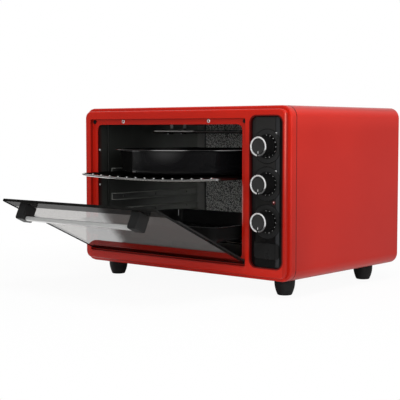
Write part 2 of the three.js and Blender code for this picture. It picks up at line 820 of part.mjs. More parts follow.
// Cavity walls are sheets with a flange turned out behind the frame's ledge
function cavityWall(side) {
  const face = side < 0 ? cavity.left : cavity.right;
  const shift = (inwards) => face - side * inwards;
  const front = cavity.front;
  const fold = front + foldDepth;
  const points = [
    [shift(-sheet - cavityFlange), front], [shift(-foldStep), front], [shift(-foldStep), fold],
    [shift(0), fold + foldStep], [shift(0), cavity.back], [shift(-sheet), cavity.back],
    [shift(-sheet), fold + foldStep], [shift(-sheet - foldStep), fold],
    [shift(-sheet - foldStep), front + sheet], [shift(-sheet - cavityFlange), front + sheet]];
  const profile = polygon(side < 0 ? points : points.reverse());
  return tall(profile, cavity.floor, cavity.roof);
}

const heaterCentre = cavity.front + heaterDepthShare * (cavity.back - cavity.front);
const heaterLines = [heaterCentre - heaterSpread / 2, heaterCentre + heaterSpread / 2];
const heaterHeights = { top: cavity.roof - topHeaterDrop, bottom: cavity.floor + bottomHeaterRise };

function heaterHoles(radius) {
  return Object.values(heaterHeights).flatMap((z) => heaterLines.map((y) =>
    pinAlongX(cavity.right - overrun, cavity.right + foldStep + overrun, y, z, radius)));
}

function cavityCap(face, side) {
  const outer = face + side * sheet;
  const cap = seam;
  const front = cavity.front + sheet + seam;
  const low = Math.min(face, outer) + side * cap;
  return tall(rect(cavity.left - sheet, front, cavity.right + sheet, cavity.back - seam), low, low + sheet);
}

place('cavity_left', cavityWall(-1), enamel);
place('cavity_right', cut(cavityWall(1), ...heaterHoles(heaterBushRadius + seam)), enamel);
place('cavity_floor', cavityCap(cavity.floor, -1), enamel);
place('cavity_roof', cavityCap(cavity.roof, 1), enamel);
place('cavity_back', deep(rect(cavity.left - sheet - cavityFlange, cavity.floor - sheet - seam,
  cavity.right + sheet + cavityFlange, cavity.roof + sheet + seam), cavity.back + seam,
cavity.back + seam + sheet), greyEnamel);

// Runners, three a side
function runner(side, share) {
  const wall = side < 0 ? cavity.left + seam : cavity.right - seam;
  const tip = wall - side * runnerDepth;
  const web = wall - side * sheet;
  const low = cavity.floor + share * cavityHeight;
  const high = low + runnerHeight;
  const points = [
    [wall, low], [tip, low], [tip, low + sheet], [web, low + sheet],
    [web, high - sheet], [tip, high - sheet], [tip, high], [wall, high]];
  return deep(polygon(side < 0 ? points : points.reverse()), runnerFront, runnerBack);
}

for (const [level, share] of Object.entries(runnerShares)) {
  place(`runner_${level}_left`, runner(-1, share), steel);
  place(`runner_${level}_right`, runner(1, share), steel);
}

// Heating elements
function heater(z) {
  const bend = cavity.left + heaterLeftGap + heaterSpread / 2;
  const end = cavity.right + heaterEnd;
  const turn = arc(bend, heaterCentre, heaterSpread / 2, -quarter, -3 * quarter, 2 * cornerSteps);
  const path = [new THREE.Vector2(end, heaterLines[0]), ...turn, new THREE.Vector2(end, heaterLines[1])];
  return rod(path.map((point) => new THREE.Vector3(point.x, point.y, z)), heaterRod);
}

// Both ends of an element pass the wall through one insulating block
function heaterBush(z) {
  const spread = heaterSpread + 2 * (heaterBushRadius + heaterBushFlange);
  const plateBox = centred(heaterCentre, z, spread, 2 * (heaterBushRadius + heaterBushFlange));
  const plate = wide(roundedRect(plateBox, heaterBushRadius), cavity.right - heaterBushFlange,
    cavity.right - seam);
  const collars = heaterLines.map((y) => pinAlongX(cavity.right - heaterBushFlange,
    cavity.right + heaterEnd - overrun, y, z, heaterBushRadius, coarse));
  const bores = heaterLines.map((y) => pinAlongX(cavity.right - heaterEnd, cavity.right + heaterEnd, y, z,
    heaterRod + seam, coarse));
  return cut(joined(plate, ...collars), ...bores);
}

// A hanger is a strip on the roof or floor with two hooks, one round each rod of the element
const hangerX = cavity.left + heaterLeftGap + hangerInset;

function hanger(z, wall) {
  const side = Math.sign(wall - z);
  const inner = heaterRod + seam;
  const outer = inner + hangerSheet;
  const seat = wall - side * seam;
  const hooks = heaterLines.map((y) => {
    const points = [
      [y - outer, z], [y - outer, z - side * outer], [y + outer, z - side * outer], [y + outer, seat],
      [y + inner, seat], [y + inner, z - side * inner], [y - inner, z - side * inner], [y - inner, z]];
    return wide(polygon(side > 0 ? points : points.reverse()), hangerX - hangerWidth / 2,
      hangerX + hangerWidth / 2);
  });
  const strip = wide(rect(heaterLines[0] - hangerWidth, Math.min(seat, seat - side * hangerSheet),
    heaterLines[1] + hangerWidth, Math.max(seat, seat - side * hangerSheet)), hangerX - hangerWidth,
  hangerX + hangerWidth);
  return joined(strip, ...hooks);
}

place('top_heater', heater(heaterHeights.top), steel);
place('bottom_heater', heater(heaterHeights.bottom), steel);
place('top_heater_bush', heaterBush(heaterHeights.top), ceramic);
place('bottom_heater_bush', heaterBush(heaterHeights.bottom), ceramic);
place('top_hanger', hanger(heaterHeights.top, cavity.roof), steel);
place('bottom_support', hanger(heaterHeights.bottom, cavity.floor), steel);

// The wire rack: a rod bent to a frame whose front dips in the middle, with wires welded across
function sagAt(x, y) {
  const half = (shelf.right - shelf.left) / 2;
  const across = Math.min(Math.abs(x - openingMiddle) / half, 1);
  const along = (rackBack - y) / rackLength;
  return rackSag * (1 - across * across) * along;
}

function wireRack() {
  const left = shelf.left + rackRod;
  const right = shelf.right - rackRod;
  const front = rackFront + rackRod;
  const back = rackBack - rackRod;
  const flat = (x, y) => new THREE.Vector3(x, y, rackRodZ);
  const loop = bent([flat(openingMiddle + seam, back), flat(right, back), flat(right, front),
    flat(left, front), flat(left, back), flat(openingMiddle - seam, back)], rackCorner);
  const frontStart = loop.findIndex((point) => point.y < front + seam);
  const dips = Array.from({ length: rackFrontStations - 1 }, (_, step) => {
    const x = right - rackCorner - ((right - left - 2 * rackCorner) * (step + 1)) / rackFrontStations;
    return new THREE.Vector3(x, front, rackRodZ - sagAt(x, front));
  });
  const path = [...loop.slice(0, frontStart + 1), ...dips, ...loop.slice(frontStart + 1)];
  const wireCount = 2 * Math.floor((right - left - rackPitch) / rackPitch / 2) + 1;
  const wires = slotRow(wireCount, rackPitch, openingMiddle, (x) => rod([
    new THREE.Vector3(x, front - rackRod / 2, rackRodZ + wireRise - sagAt(x, front)),
    new THREE.Vector3(x, back + rackRod / 2, rackRodZ + wireRise)], rackWire, wireSides));
  const middle = (front + back) / 2;
  const dipped = slotRow(rackBraceStations, 2 * rackPitch, openingMiddle, (x) =>
    new THREE.Vector3(x, middle, rackRodZ - sagAt(x, middle)));
  const crossRod = rod([flat(left, middle), ...dipped, flat(right, middle)], rackBrace);
  return joined(rod(path, rackRod), crossRod, ...wires);
}

place('wire_rack', wireRack(), chrome);

// The pan stands on the wires, a tapered wall with a flared lip
function roundPan() {
  const bottom = rackRodZ + wireRise + rackWire + seam;
  const top = panHeight - panWall;
  const rim = Math.min(rackLength / 2 + panOverhang, (shelf.right - shelf.left) / 2 - panSideGap);
  const neck = rim - panLip;
  const foot = neck - panTaper;
  const outer = [[0, 0],
    ...arc(foot - panCorner, panCorner, panCorner, -quarter, 0, roundSteps + 1).map((p) => [p.x, p.y]),
    [neck, top - panWall], [neck + panWall, top], [rim - panWall, top + panWall / 2], [rim, top + panWall]];
  const inner = [[rim - panWall, top + 2 * panWall], [neck, top + panWall], [neck - panWall, top - panWall],
    ...arc(foot - panCorner, panCorner, panCorner - panWall, 0, -quarter, roundSteps + 1)
      .map((p) => [p.x, p.y]),
    [0, panWall]];
  return turned([...outer, ...inner], fine + coarse)
    .translate(openingMiddle, (rackFront + rackBack) / 2, bottom);
}

place('round_pan', roundPan(), glossBlack);

// The tray hangs by its lip in the lower runners
function bakingTray() {
  const rise = runnerShares.lower * cavityHeight;
  const lipZ = cavity.floor + rise + sheet + seam;
  const floorZ = lipZ + trayWall - trayHeightShare * rise;
  const rim = {
    left: shelf.left,
    right: shelf.right,
    bottom: cavity.front + trayFrontGap - shelfPull,
    top: cavity.back - trayBackGap - shelfPull,
  };
  const ring = (inset, z) => roundedPoints(grown(rim, -inset), Math.max(trayCorner - inset, trayFootRound))
    .map((point) => new THREE.Vector3(point.x, point.y, z));
  const foot = trayLip + trayTaper;
  const outer = [
    ring(foot + trayFootRound, floorZ), ring(foot + trayFootRound / 4, floorZ + trayFootRound / 4),
    ring(foot, floorZ + trayFootRound), ring(trayLip, lipZ - trayWall), ring(trayLip - trayWall, lipZ),
    ring(0, lipZ)];
  const inner = [
    ring(0, lipZ + trayWall), ring(trayLip, lipZ + trayWall), ring(trayLip + trayWall, lipZ),
    ring(foot + trayWall, floorZ + trayFootRound), ring(foot + trayFootRound / 4 + trayWall,
      floorZ + trayFootRound / 4 + trayWall), ring(foot + trayFootRound + trayWall, floorZ + trayWall)];
  return loft([...outer, ...inner]);
}

place('baking_tray', bakingTray(), glossBlack);

// Buffers and feet
function bufferAt(x) {
  const height = Math.min(bufferHeight, rebateDepth - glassSetback - glassThickness - seam);
  return turnedToFront([
    [0, -frameWall], [bufferStem, -frameWall], [bufferStem, seam], [bufferRadius, seam],
    [bufferRadius, height - seam], [bufferRadius - seam, height], [0, height]], x, rebateDepth, ledgeMiddle,
  coarse);
}

place('door_buffer_left', bufferAt(bufferPlaces[0]), blackPlastic);
place('door_buffer_right', bufferAt(bufferPlaces[1]), blackPlastic);

function foot(x, y) {
  const top = footHeight - seam;
  const waist = footTopRadius - footBottomRadius;
  return turned([
    [0, 0], [footBottomRadius - footEdge, 0], [footBottomRadius, footEdge],
    ...footCurveShares.map((share) => [footBottomRadius + waist * share.flare, top * share.height]),
    [footTopRadius, top - footEdge], [footTopRadius, top], [0, top]]).translate(x, y, 0);
}

const footX = halfWidth - footInsetX;
place('foot_front_left', foot(-footX, footFront), blackPlastic);
place('foot_front_right', foot(footX, footFront), blackPlastic);
place('foot_rear_left', foot(-footX, bodyDepth - footInsetBack), blackPlastic);
place('foot_rear_right', foot(footX, bodyDepth - footInsetBack), blackPlastic);

// The origin is the middle of the whole footprint, on the surface that the feet stand on
oven.updateMatrixWorld(true);
const reach = new THREE.Box3().setFromObject(oven, true);
oven.position.set(-(reach.min.x + reach.max.x) / 2, -(reach.min.y + reach.max.y) / 2, -reach.min.z);
oven.updateMatrixWorld(true);

export default oven;
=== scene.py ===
import json
import math
import bmesh
import bpy
import numpy as np
from mathutils import Matrix, Vector

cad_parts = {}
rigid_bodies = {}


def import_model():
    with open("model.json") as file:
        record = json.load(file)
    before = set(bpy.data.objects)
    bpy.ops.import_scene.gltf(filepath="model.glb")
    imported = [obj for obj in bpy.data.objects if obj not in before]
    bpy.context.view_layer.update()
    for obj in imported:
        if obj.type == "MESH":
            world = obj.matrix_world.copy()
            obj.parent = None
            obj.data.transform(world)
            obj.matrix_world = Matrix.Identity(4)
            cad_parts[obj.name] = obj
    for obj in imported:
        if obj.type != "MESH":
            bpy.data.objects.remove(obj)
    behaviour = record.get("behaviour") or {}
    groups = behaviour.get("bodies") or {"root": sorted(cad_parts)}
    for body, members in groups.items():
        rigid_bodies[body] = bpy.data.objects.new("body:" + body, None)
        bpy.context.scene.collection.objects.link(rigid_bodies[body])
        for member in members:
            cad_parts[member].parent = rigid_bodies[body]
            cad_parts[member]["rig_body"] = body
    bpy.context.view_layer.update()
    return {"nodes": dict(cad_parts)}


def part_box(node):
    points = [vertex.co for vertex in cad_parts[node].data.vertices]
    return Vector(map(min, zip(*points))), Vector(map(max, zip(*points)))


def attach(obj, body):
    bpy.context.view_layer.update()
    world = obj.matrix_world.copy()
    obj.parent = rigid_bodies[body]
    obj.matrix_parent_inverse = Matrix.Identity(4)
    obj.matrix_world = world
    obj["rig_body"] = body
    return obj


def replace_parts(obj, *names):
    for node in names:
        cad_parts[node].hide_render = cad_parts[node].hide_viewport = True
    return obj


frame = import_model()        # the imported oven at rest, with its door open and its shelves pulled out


# Front frame
# One sheet of steel drawn to a raised face, a pocket for the door and a rounded rim. It is sprayed with red enamel
# and baked, which leaves a faint orange peel. Painted shade lies in its folds and painted highlights on its edges.
class Value:
    """One outlet in a material's tree. An operator used on it adds the Math node that it stands for."""

    def __init__(self, tree, outlet):
        self.tree = tree
        self.outlet = outlet

    def node(self, kind, settings=None, inlets=None, out=0):
        """An outlet of a new node, whose settings are made first, then the values or links of its inlets."""
        new = self.tree.nodes.new(kind)
        for name, value in (settings or {}).items():
            if name == "stops":
                while len(new.color_ramp.elements) < len(value):
                    new.color_ramp.elements.new(1)
                for stop, (place, colour) in zip(new.color_ramp.elements, value):
                    stop.position = place
                    stop.color = colour
            else:
                setattr(new, name, value)
        for name, value in (inlets or {}).items():
            if isinstance(value, Value):
                self.tree.links.new(value.outlet, new.inputs[name])
            else:
                new.inputs[name].default_value = value
        return Value(self.tree, new.outputs[out])

    def math(self, operation, first, second):
        return self.node("ShaderNodeMath", {"operation": operation}, {0: first, 1: second})

    def __add__(self, other):
        return self.math("ADD", self, other)

    def __radd__(self, other):
        return self.math("ADD", other, self)

    def __sub__(self, other):
        return self.math("SUBTRACT", self, other)

    def __rsub__(self, other):
        return self.math("SUBTRACT", other, self)

    def __mul__(self, other):
        return self.math("MULTIPLY", self, other)

    def __rmul__(self, other):
        return self.math("MULTIPLY", other, self)

    def __truediv__(self, other):
        return self.math("DIVIDE", self, other)

    def __pow__(self, other):
        return self.math("POWER", self, other)

    def higher(self, other):
        return self.math("MAXIMUM", self, other)

    def size(self):
        return self.node("ShaderNodeMath", {"operation": "ABSOLUTE"}, {0: self})

    def rise(self, low, high):
        """0 up to low and 1 from high, with a smooth step between."""
        return self.node("ShaderNodeMapRange", {"interpolation_type": "SMOOTHSTEP"}, {0: self, 1: low, 2: high})

    def fall(self, low, high):
        """1 up to low and 0 from high."""
        return 1 - self.rise(low, high)

    def line(self, middle, full, clear):
        """1 as far as full from a middle value, on either side of it, and 0 from clear on."""
        return (self - middle).size().fall(full, clear)

    def reach(self, other):
        """The distance that two values square to each other make, the root of the sum of their squares."""
        return (self * self + other * other) ** 0.5

    def blend(self, zero, one):
        """The colour zero where this value is 0, and the colour one where it is 1."""
        zero, one = (tone if isinstance(tone, Value) else shade(tone) for tone in (zero, one))
        return self.node("ShaderNodeMix", {"data_type": "RGBA"}, {0: self, 6: zero, 7: one}, 2)

    def noise(self, scale, detail, stretch=None):
        """Cloudy noise over these coordinates, with scale in lumps per metre, stretched where factors are given."""
        places = self
        if stretch:
            places = self.node("ShaderNodeMapping", None, {"Vector": self, "Scale": stretch})
        return places.node("ShaderNodeTexNoise", None, {"Vector": places, "Scale": scale, "Detail": detail})

    def bump(self, strength, distance):
        """A normal bent by this height, which is a share of distance in metres."""
        return self.node("ShaderNodeBump", None, {"Strength": strength, "Distance": distance, "Height": self})

    def parts(self):
        """The X, Y and Z of these coordinates."""
        first = self.node("ShaderNodeSeparateXYZ", None, {"Vector": self})
        return [Value(self.tree, outlet) for outlet in first.outlet.node.outputs]


class Finish:
    """A material with one Principled surface. What is the same all over is set on the surface's own sockets."""

    def __init__(self, name, **fixed):
        self.material = bpy.data.materials.new(name)
        self.material.use_nodes = True
        self.tree = self.material.node_tree
        self.surface = self.tree.nodes["Principled BSDF"]
        for inlet, value in fixed.items():
            self.surface.inputs[inlet.replace("_", " ")].default_value = value
        coordinates = self.tree.nodes.new("ShaderNodeTexCoord")
        self.places = Value(self.tree, coordinates.outputs["Object"])

    def feed(self, inlet, value):
        self.tree.links.new(value.outlet, self.surface.inputs[inlet])

    def give_way(self, share, other):
        """Lets the surface give way to another one by a share."""
        own = Value(self.tree, self.surface.outputs[0])
        both = share.node("ShaderNodeMixShader", None, {0: share, 1: own, 2: other})
        self.tree.links.new(both.outlet, self.tree.nodes["Material Output"].inputs["Surface"])

    def dull(self, share, tone):
        """Lets the surface give way to a dull coat of one tone by a share."""
        self.give_way(share, share.node("ShaderNodeBsdfDiffuse", None, {"Color": shade(tone)}))


def shade(tone):
    """A colour with an alpha of 1, of one grey or of three shares."""
    return (*tone, 1.0) if isinstance(tone, tuple) else (tone, tone, tone, 1.0)


def as_mesh(name, points, quads, sharp_above):
    """A mesh from points and four-sided faces. Points that fall together are made one, faces that lose sides
    that way keep the rest, and edges bent more than an angle stay sharp."""
    points, place = np.unique(np.round(points, 7), axis=0, return_inverse=True)
    quads = place.reshape(-1)[quads]
    keep = quads != np.roll(quads, 1, axis=1)
    keep &= (keep.sum(1) > 2)[:, None]
    sides = keep.sum(1)
    sides = sides[sides > 0]
    mesh = bpy.data.meshes.new(name)
    mesh.vertices.add(len(points))
    mesh.vertices.foreach_set("co", points.astype(np.float32).ravel())
    mesh.loops.add(int(sides.sum()))
    mesh.loops.foreach_set("vertex_index", quads[keep].astype(np.int32))
    mesh.polygons.add(len(sides))
    mesh.polygons.foreach_set("loop_start", (np.cumsum(sides) - sides).astype(np.int32))
    mesh.update(calc_edges=True)
    mesh.validate()
    mesh.shade_smooth()
    mesh.set_sharp_from_angle(angle=math.radians(sharp_above))
    return mesh


def stand(name, data):
    """A new object of some data in the scene."""
    thing = bpy.data.objects.new(name, data)
    bpy.context.scene.collection.objects.link(thing)
    return thing


def fit(piece, body, finish):
    """Puts a made piece on its body, with its finish."""
    piece.data.materials.append(finish.material)
    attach(piece, body)
    return piece


def dress(node, finish, sharp_above=38, ease=None):
    """A solid's own faces with their doubled corners made one, so that its rounded edges shade as round. With an
    ease in metres, its flats are made whole first, and each sharp edge is rounded by that much. Each corner's
    normal is weighted by the area of its faces, which keeps the flats flat."""
    solid = frame["nodes"][node]
    points = np.empty(len(solid.data.vertices) * 3, np.float32)
    solid.data.vertices.foreach_get("co", points)
    corners = np.empty(len(solid.data.loops), np.int32)
    solid.data.loops.foreach_get("vertex_index", corners)
    corners = corners.reshape(-1, 3)
    points = np.round(points.reshape(-1, 3), 5)
    mesh = as_mesh(node + "_sheet", points, np.hstack([corners, corners[:, 2:]]), sharp_above)
    if ease:
        work = bmesh.new()
        work.from_mesh(mesh)
        bmesh.ops.dissolve_limit(work, angle_limit=math.radians(0.6), verts=work.verts, edges=work.edges)
        work.to_mesh(mesh)
        work.free()
        mesh.shade_smooth()
        mesh.set_sharp_from_angle(angle=math.pi)
    piece = stand(node + "_dressed", mesh)
    if ease:
        rounding = piece.modifiers.new("rounding", "BEVEL")
        rounding.width = ease
        rounding.segments = 3
        rounding.limit_method = "ANGLE"
        rounding.angle_limit = math.radians(sharp_above)
    weigh = piece.modifiers.new("weigh", "WEIGHTED_NORMAL")
    weigh.keep_sharp = not ease
    fit(piece, solid["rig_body"], finish)
    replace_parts(piece, node)


def middle(node):
    """The X, Y and Z of the middle of a node's box."""
    return [(low + high) / 2 for low, high in zip(*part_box(node))]


red = Finish("red_enamel", Coat_Weight=0.35, Coat_Roughness=0.05, Specular_IOR_Level=0.22)
low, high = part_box("front_frame")
x, y, z = red.places.parts()
aside, inwards = x.size(), y - low.y
opening_low, opening_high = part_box("control_panel")
opening_x, _, opening_z = middle("control_panel")
opening_corner = 0.0125


def past_opening(x, z):
    """How far a place lies outside the panel's opening, less than nothing inside it: the length of what is left
    over past the round corners' middles, less the corners' radius."""
    wide = (opening_high.x - opening_low.x) / 2 - opening_corner
    tall = (opening_high.z - opening_low.z) / 2 - opening_corner
    past_x = ((x - opening_x).size() - wide).higher(0.0)
    past_z = ((z - opening_z).size() - tall).higher(0.0)
    return past_x.reach(past_z) - opening_corner


# Painted shade in the folds: the pocket's walls, the top of its ledge and its foot, and the panel's opening with a
# line round it.
door_x, pocket_z, rim_x = -0.037, 0.188, 0.2515
on_ledge = inwards.rise(0.0068, 0.0076)
pocket = inwards.rise(0.0006, 0.0016) * (1 - on_ledge) * aside.fall(0.2415, 0.244) * z.line(pocket_z, 0.137, 0.14)
ledge_top = on_ledge * x.line(door_x - 0.0005, 0.196, 0.198) * z.rise(0.3175, 0.3195) * z.fall(0.3225, 0.3235)
pocket_foot = (0.4 * inwards.rise(0.0002, 0.0009) * z.rise(0.0515, 0.0525)).higher(0.5 * z.rise(0.0485, 0.0535))
pocket_foot = pocket_foot * x.line(door_x, 0.199, 0.203) * z.fall(0.057, 0.06)
outside = past_opening(x, z)
opening_wall = outside.fall(0.0008, 0.0016) * inwards.rise(0.0001, 0.0012)
opening_line = 0.85 * outside.line(0.0008, 0.0012, 0.0024)
painted_shade_folds = (0.7 * ledge_top).higher(0.6 * pocket).higher(opening_wall).higher(opening_line).higher(pocket_foot)

# Painted shade on the rim, a painted highlight along its crease, the side painted darker low down and lighter high
# up, a painted highlight on the edge beside the panel, and the seam behind.
rim = aside.rise(rim_x, rim_x + 0.0012) * inwards.fall(0.006, 0.0085)
painted_highlight_crease = 0.5 * aside.line(rim_x + 0.0008, 0.0005, 0.0017) * z.rise(0.13, 0.31) * inwards.fall(0.002, 0.003)
painted_shade_low_side = z.fall(0.06, 0.3) * x.rise(0.247, 0.2485) * (0.75 - 0.45 * y.rise(-0.05, 0.03))
painted_light_high_side = 0.5 * z.rise(0.29, 0.33) * x.rise(0.2535, 0.256)
painted_highlight_edge = 0.8 * x.line(0.1522, 0.001, 0.0018) * z.rise(0.118, 0.148) * z.fall(0.19, 0.205)
seam = y.line((high.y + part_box("outer_shell")[0].y) / 2 - 0.0001, 0.0006, 0.0011)
paint = red.places.noise(7, 3).rise(0.3, 0.7).blend((0.485, 0.012, 0.0045), (0.515, 0.014, 0.0055))
for share, colour in ((rim, (0.3, 0.007, 0.003)), (painted_highlight_crease, (0.9, 0.2, 0.16)), (painted_shade_low_side, (0.35, 0.008, 0.003)),
                      (painted_light_high_side, (0.68, 0.03, 0.018)), (painted_shade_folds, (0.05, 0.002, 0.002)),
                      (painted_highlight_edge, (0.6, 0.22, 0.2)), (seam, (0.06, 0.002, 0.002))):
    paint = share.blend(paint, colour)
red.feed("Base Color", paint)
red.feed("Roughness", 0.27 + 0.1 * red.places.noise(34, 4))
red.feed("Coat Weight", 0.1 + 0.25 * z.rise(0.03, 0.07))
red.feed("Normal", red.places.noise(420, 2).bump(0.05, 0.0006))
dress("front_frame", red, 50, 0.0011)


# Outer shell
# One long sheet folded round the top and both sides, with large round corners, in the same red enamel.
dress("outer_shell", red, 50, 0.0004)


# Bottom plate, rear panel and bracket
# Zinc-coated steel, left bare. The zinc sets in spangles of a few millimetres that reflect differently.
def coat(nodes, finish):
    """Gives solids whose shapes stay as they are a finish."""
    for node in nodes:
        frame["nodes"][node].material_slots[0].material = finish.material


zinc = Finish("zinc_spangle", Metallic=1.0)
spangle = zinc.places.node("ShaderNodeTexVoronoi", None, {"Vector": zinc.places, "Scale": 160.0}, 1)
grain = zinc.places.node("ShaderNodeSeparateColor", None, {"Color": spangle})
smear = zinc.places.noise(22, 4)
zinc.feed("Base Color", (0.7 * grain + 0.3 * smear).blend((0.42, 0.43, 0.44), (0.62, 0.63, 0.64)))
zinc.feed("Roughness", 0.34 + 0.16 * grain)
zinc.feed("Normal", grain.bump(0.12, 0.0004))
coat(("base_plate", "rear_panel", "control_bracket"), zinc)


# Screws
# Small plated screws with a crossed recess hold the walls to their flanges and the rear panel to the shell. Two
# pressed eyelets hold the ledge to the roof, and red enamel shows in their middles.
def square_to(axis):
    """An axis of length 1, and two directions square to it and to each other."""
    axis = np.asarray(axis, float) / np.linalg.norm(axis)
    first = np.cross(axis, (0.0, 0.0, 1.0) if abs(axis[2]) < 0.9 else (1.0, 0.0, 0.0))
    first /= np.linalg.norm(first)
    return axis, first, np.cross(axis, first)


def turned(profile, centre, axis, around):
    """A profile of radius and height turned about an axis: each point is the centre, plus the height along the
    axis, plus the radius along a direction that goes once round it."""
    profile = np.asarray(profile, float)
    axis, first, second = square_to(axis)
    angle = np.linspace(0, 2 * np.pi, around, endpoint=False)
    spoke = np.cos(angle)[:, None] * first + np.sin(angle)[:, None] * second
    return np.asarray(centre, float) + profile[:, :1, None] * spoke + profile[:, 1:, None] * axis


def woven(grids):
    """Points and four-sided faces of several grids, each joined row to row, and round from its last column to its
    first."""
    points, quads, start = [], [], 0
    for grid in grids:
        rows, columns = grid.shape[:2]
        place = start + np.arange(rows * columns).reshape(rows, columns)
        place = np.hstack([place, place[:, :1]])
        quads.append(np.stack([place[:-1, :-1], place[:-1, 1:], place[1:, 1:], place[1:, :-1]], -1).reshape(-1, 4))
        points.append(grid.reshape(-1, 3))
        start += rows * columns
    return np.vstack(points), np.vstack(quads)


def make(name, grids, body, finish, sharp_above=38):
    """One piece from grids of points, with the faces of each closed part turned outwards."""
    points, quads = woven(grids)
    mesh = as_mesh(name + "_mesh", points, quads, sharp_above)
    work = bmesh.new()
    work.from_mesh(mesh)
    bmesh.ops.recalc_face_normals(work, faces=work.faces)
    work.to_mesh(mesh)
    work.free()
    return fit(stand(name, mesh), body, finish)


def screw_head(centre, axis, radius):
    """A domed head whose height falls with the square of the radius. Where a point lies in one of two crossed
    bars, near the middle, the height drops to the recess."""
    centre, (axis, first, second) = np.asarray(centre, float), square_to(axis)
    shares = np.array([0, 0.12, 0.2, 0.24, 0.4, 0.5, 0.54, 0.7, 0.85, 0.95, 1.0, 1.0])
    angle = np.linspace(0, 2 * np.pi, 48, endpoint=False)
    across = shares[:, None] * np.cos(angle) * radius
    along = shares[:, None] * np.sin(angle) * radius
    height = 0.55 * radius * (1 - 0.45 * shares[:, None] ** 2) + 0 * across
    narrow = np.minimum(abs(across), abs(along)) < 0.13 * radius
    height -= 0.3 * radius * (narrow & (np.hypot(across, along) < 0.52 * radius))
    height[-1] = 0
    top = centre + across[..., None] * first + along[..., None] * second + height[..., None] * axis
    return np.concatenate([top, np.broadcast_to(centre, (1, 48, 3))])


plated = Finish("plated_screw", Metallic=1.0, Base_Color=shade((0.62, 0.62, 0.6)))
plated.feed("Roughness", 0.16 + 0.2 * plated.places.noise(300, 3))
plated.feed("Normal", plated.places.noise(1500, 2).bump(0.1, 0.0002))
pale = Finish("zinc_screw", Metallic=0.2)
pale.feed("Base Color", pale.places.noise(500, 2).blend(0.7, 0.95))
pale.feed("Roughness", 0.3 + 0.2 * pale.places.noise(300, 3))

pressed = Finish("pressed_eyelet", Metallic=0.2)
ledge_y, eyelet_z, eyelet_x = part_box("front_frame")[0].y + 0.008, 0.3142, (-0.151, 0.072)
x, y, z = pressed.places.parts()
hole = ((x - sum(eyelet_x) / 2).size() - (eyelet_x[1] - eyelet_x[0]) / 2).reach(z - eyelet_z).fall(0.0017, 0.0021)
plating = pressed.places.noise(500, 2).blend(0.75, 0.95)
pressed.feed("Base Color", hole.blend(plating, (0.3, 0.02, 0.015)))
pressed.feed("Roughness", 0.3 + 0.2 * pressed.places.noise(300, 3))
eyelet = [(0, 0.0003), (0.0016, 0.0003), (0.002, 0.0013), (0.0027, 0.0017), (0.0033, 0.0012), (0.0036, 0), (0, 0)]
make("ledge_rivets", [turned(eyelet, (x, ledge_y, eyelet_z), (0, -1, 0), 40) for x in eyelet_x],
     "cabinet", pressed)

left_wall, right_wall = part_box("cavity_left")[1].x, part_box("cavity_right")[0].x
flange, wall_y = 0.0014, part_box("cavity_left")[0].y + 0.0045
make("wall_screws", [screw_head((x, wall_y, z), (side, 0, 0), 0.0018)
                     for x, side in ((left_wall - flange, 1), (right_wall + flange, -1)) for z in (0.257, 0.186)],
     "cabinet", pale)
low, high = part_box("rear_panel")
edge_x, edge_z = 0.012, 0.026
corners = [(x, z) for x in (low.x + edge_x, middle("rear_panel")[0], high.x - edge_x)
           for z in (low.z + edge_z, high.z - edge_z)]
make("rear_screws", [screw_head((x, high.y, z), (0, 1, 0), 0.0038) for x, z in corners],
     "cabinet", plated)


# Inlet bush and hinge bushes
# Moulded black bushes, one in the rear panel, where the mains lead would come in, and two for the door's pins.
moulded = Finish("black_moulding", Base_Color=shade(0.012), Specular_IOR_Level=0.45)
moulded.feed("Roughness", 0.42 + 0.12 * moulded.places.noise(60, 3))
moulded.feed("Normal", moulded.places.noise(2400, 2).bump(0.16, 0.0002))
for node in ("inlet_bush", "hinge_bush_left", "hinge_bush_right"):
    dress(node, moulded)


# Feet
# Four moulded rubber feet, wider at the top than below, each with a bore for its screw.
def eased(corners, radii, steps=5):
    """A profile whose corners are rounded: near each one it follows a curve that blends the two sides, weighted
    by the square of the share still to go, twice the product, and the square of the share gone."""
    corners = np.asarray(corners, float)
    rows = [corners[:1]]
    for before, here, after, radius in zip(corners[:-2], corners[1:-1], corners[2:], radii):
        back, on = before - here, after - here
        start = here + back * min(radius / max(np.linalg.norm(back), 1e-9), 0.5)
        end = here + on * min(radius / max(np.linalg.norm(on), 1e-9), 0.5)
        share = np.linspace(0, 1, steps + 1)[:, None]
        rows.append((1 - share) ** 2 * start + 2 * share * (1 - share) * here + share ** 2 * end)
    rows.append(corners[-1:])
    return np.vstack(rows)


rubber = Finish("foot_rubber", Specular_IOR_Level=0.16)
dust = rubber.places.noise(90, 4)
rubber.feed("Base Color", dust.rise(0.35, 0.75).blend(0.011, 0.018))
rubber.feed("Roughness", 0.5 + 0.2 * dust)
rubber.feed("Normal", rubber.places.noise(1800, 3).bump(0.2, 0.0003))
for node in ("foot_front_left", "foot_front_right", "foot_rear_left", "foot_rear_right"):
    low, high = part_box(node)
    centre = (*middle(node)[:2], 0)
    wide, tall, narrow = (high.x - low.x) / 2, high.z, 0.013
    bore, bore_depth = 0.0045, 0.005
    profile = eased([(0, bore_depth), (bore, bore_depth), (bore, 0), (narrow, 0), (wide - 0.0022, tall * 0.32),
                     (wide - 0.0003, tall * 0.62), (wide, tall - 0.001), (wide, tall), (0, tall)],
                    [0.0003, 0.0006, 0.0016, 0.005, 0.005, 0.001, 0.0004])
    foot = make(node + "_rubber", [turned(profile, centre, (0, 0, 1), 64)], "cabinet", rubber)
    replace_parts(foot, node)
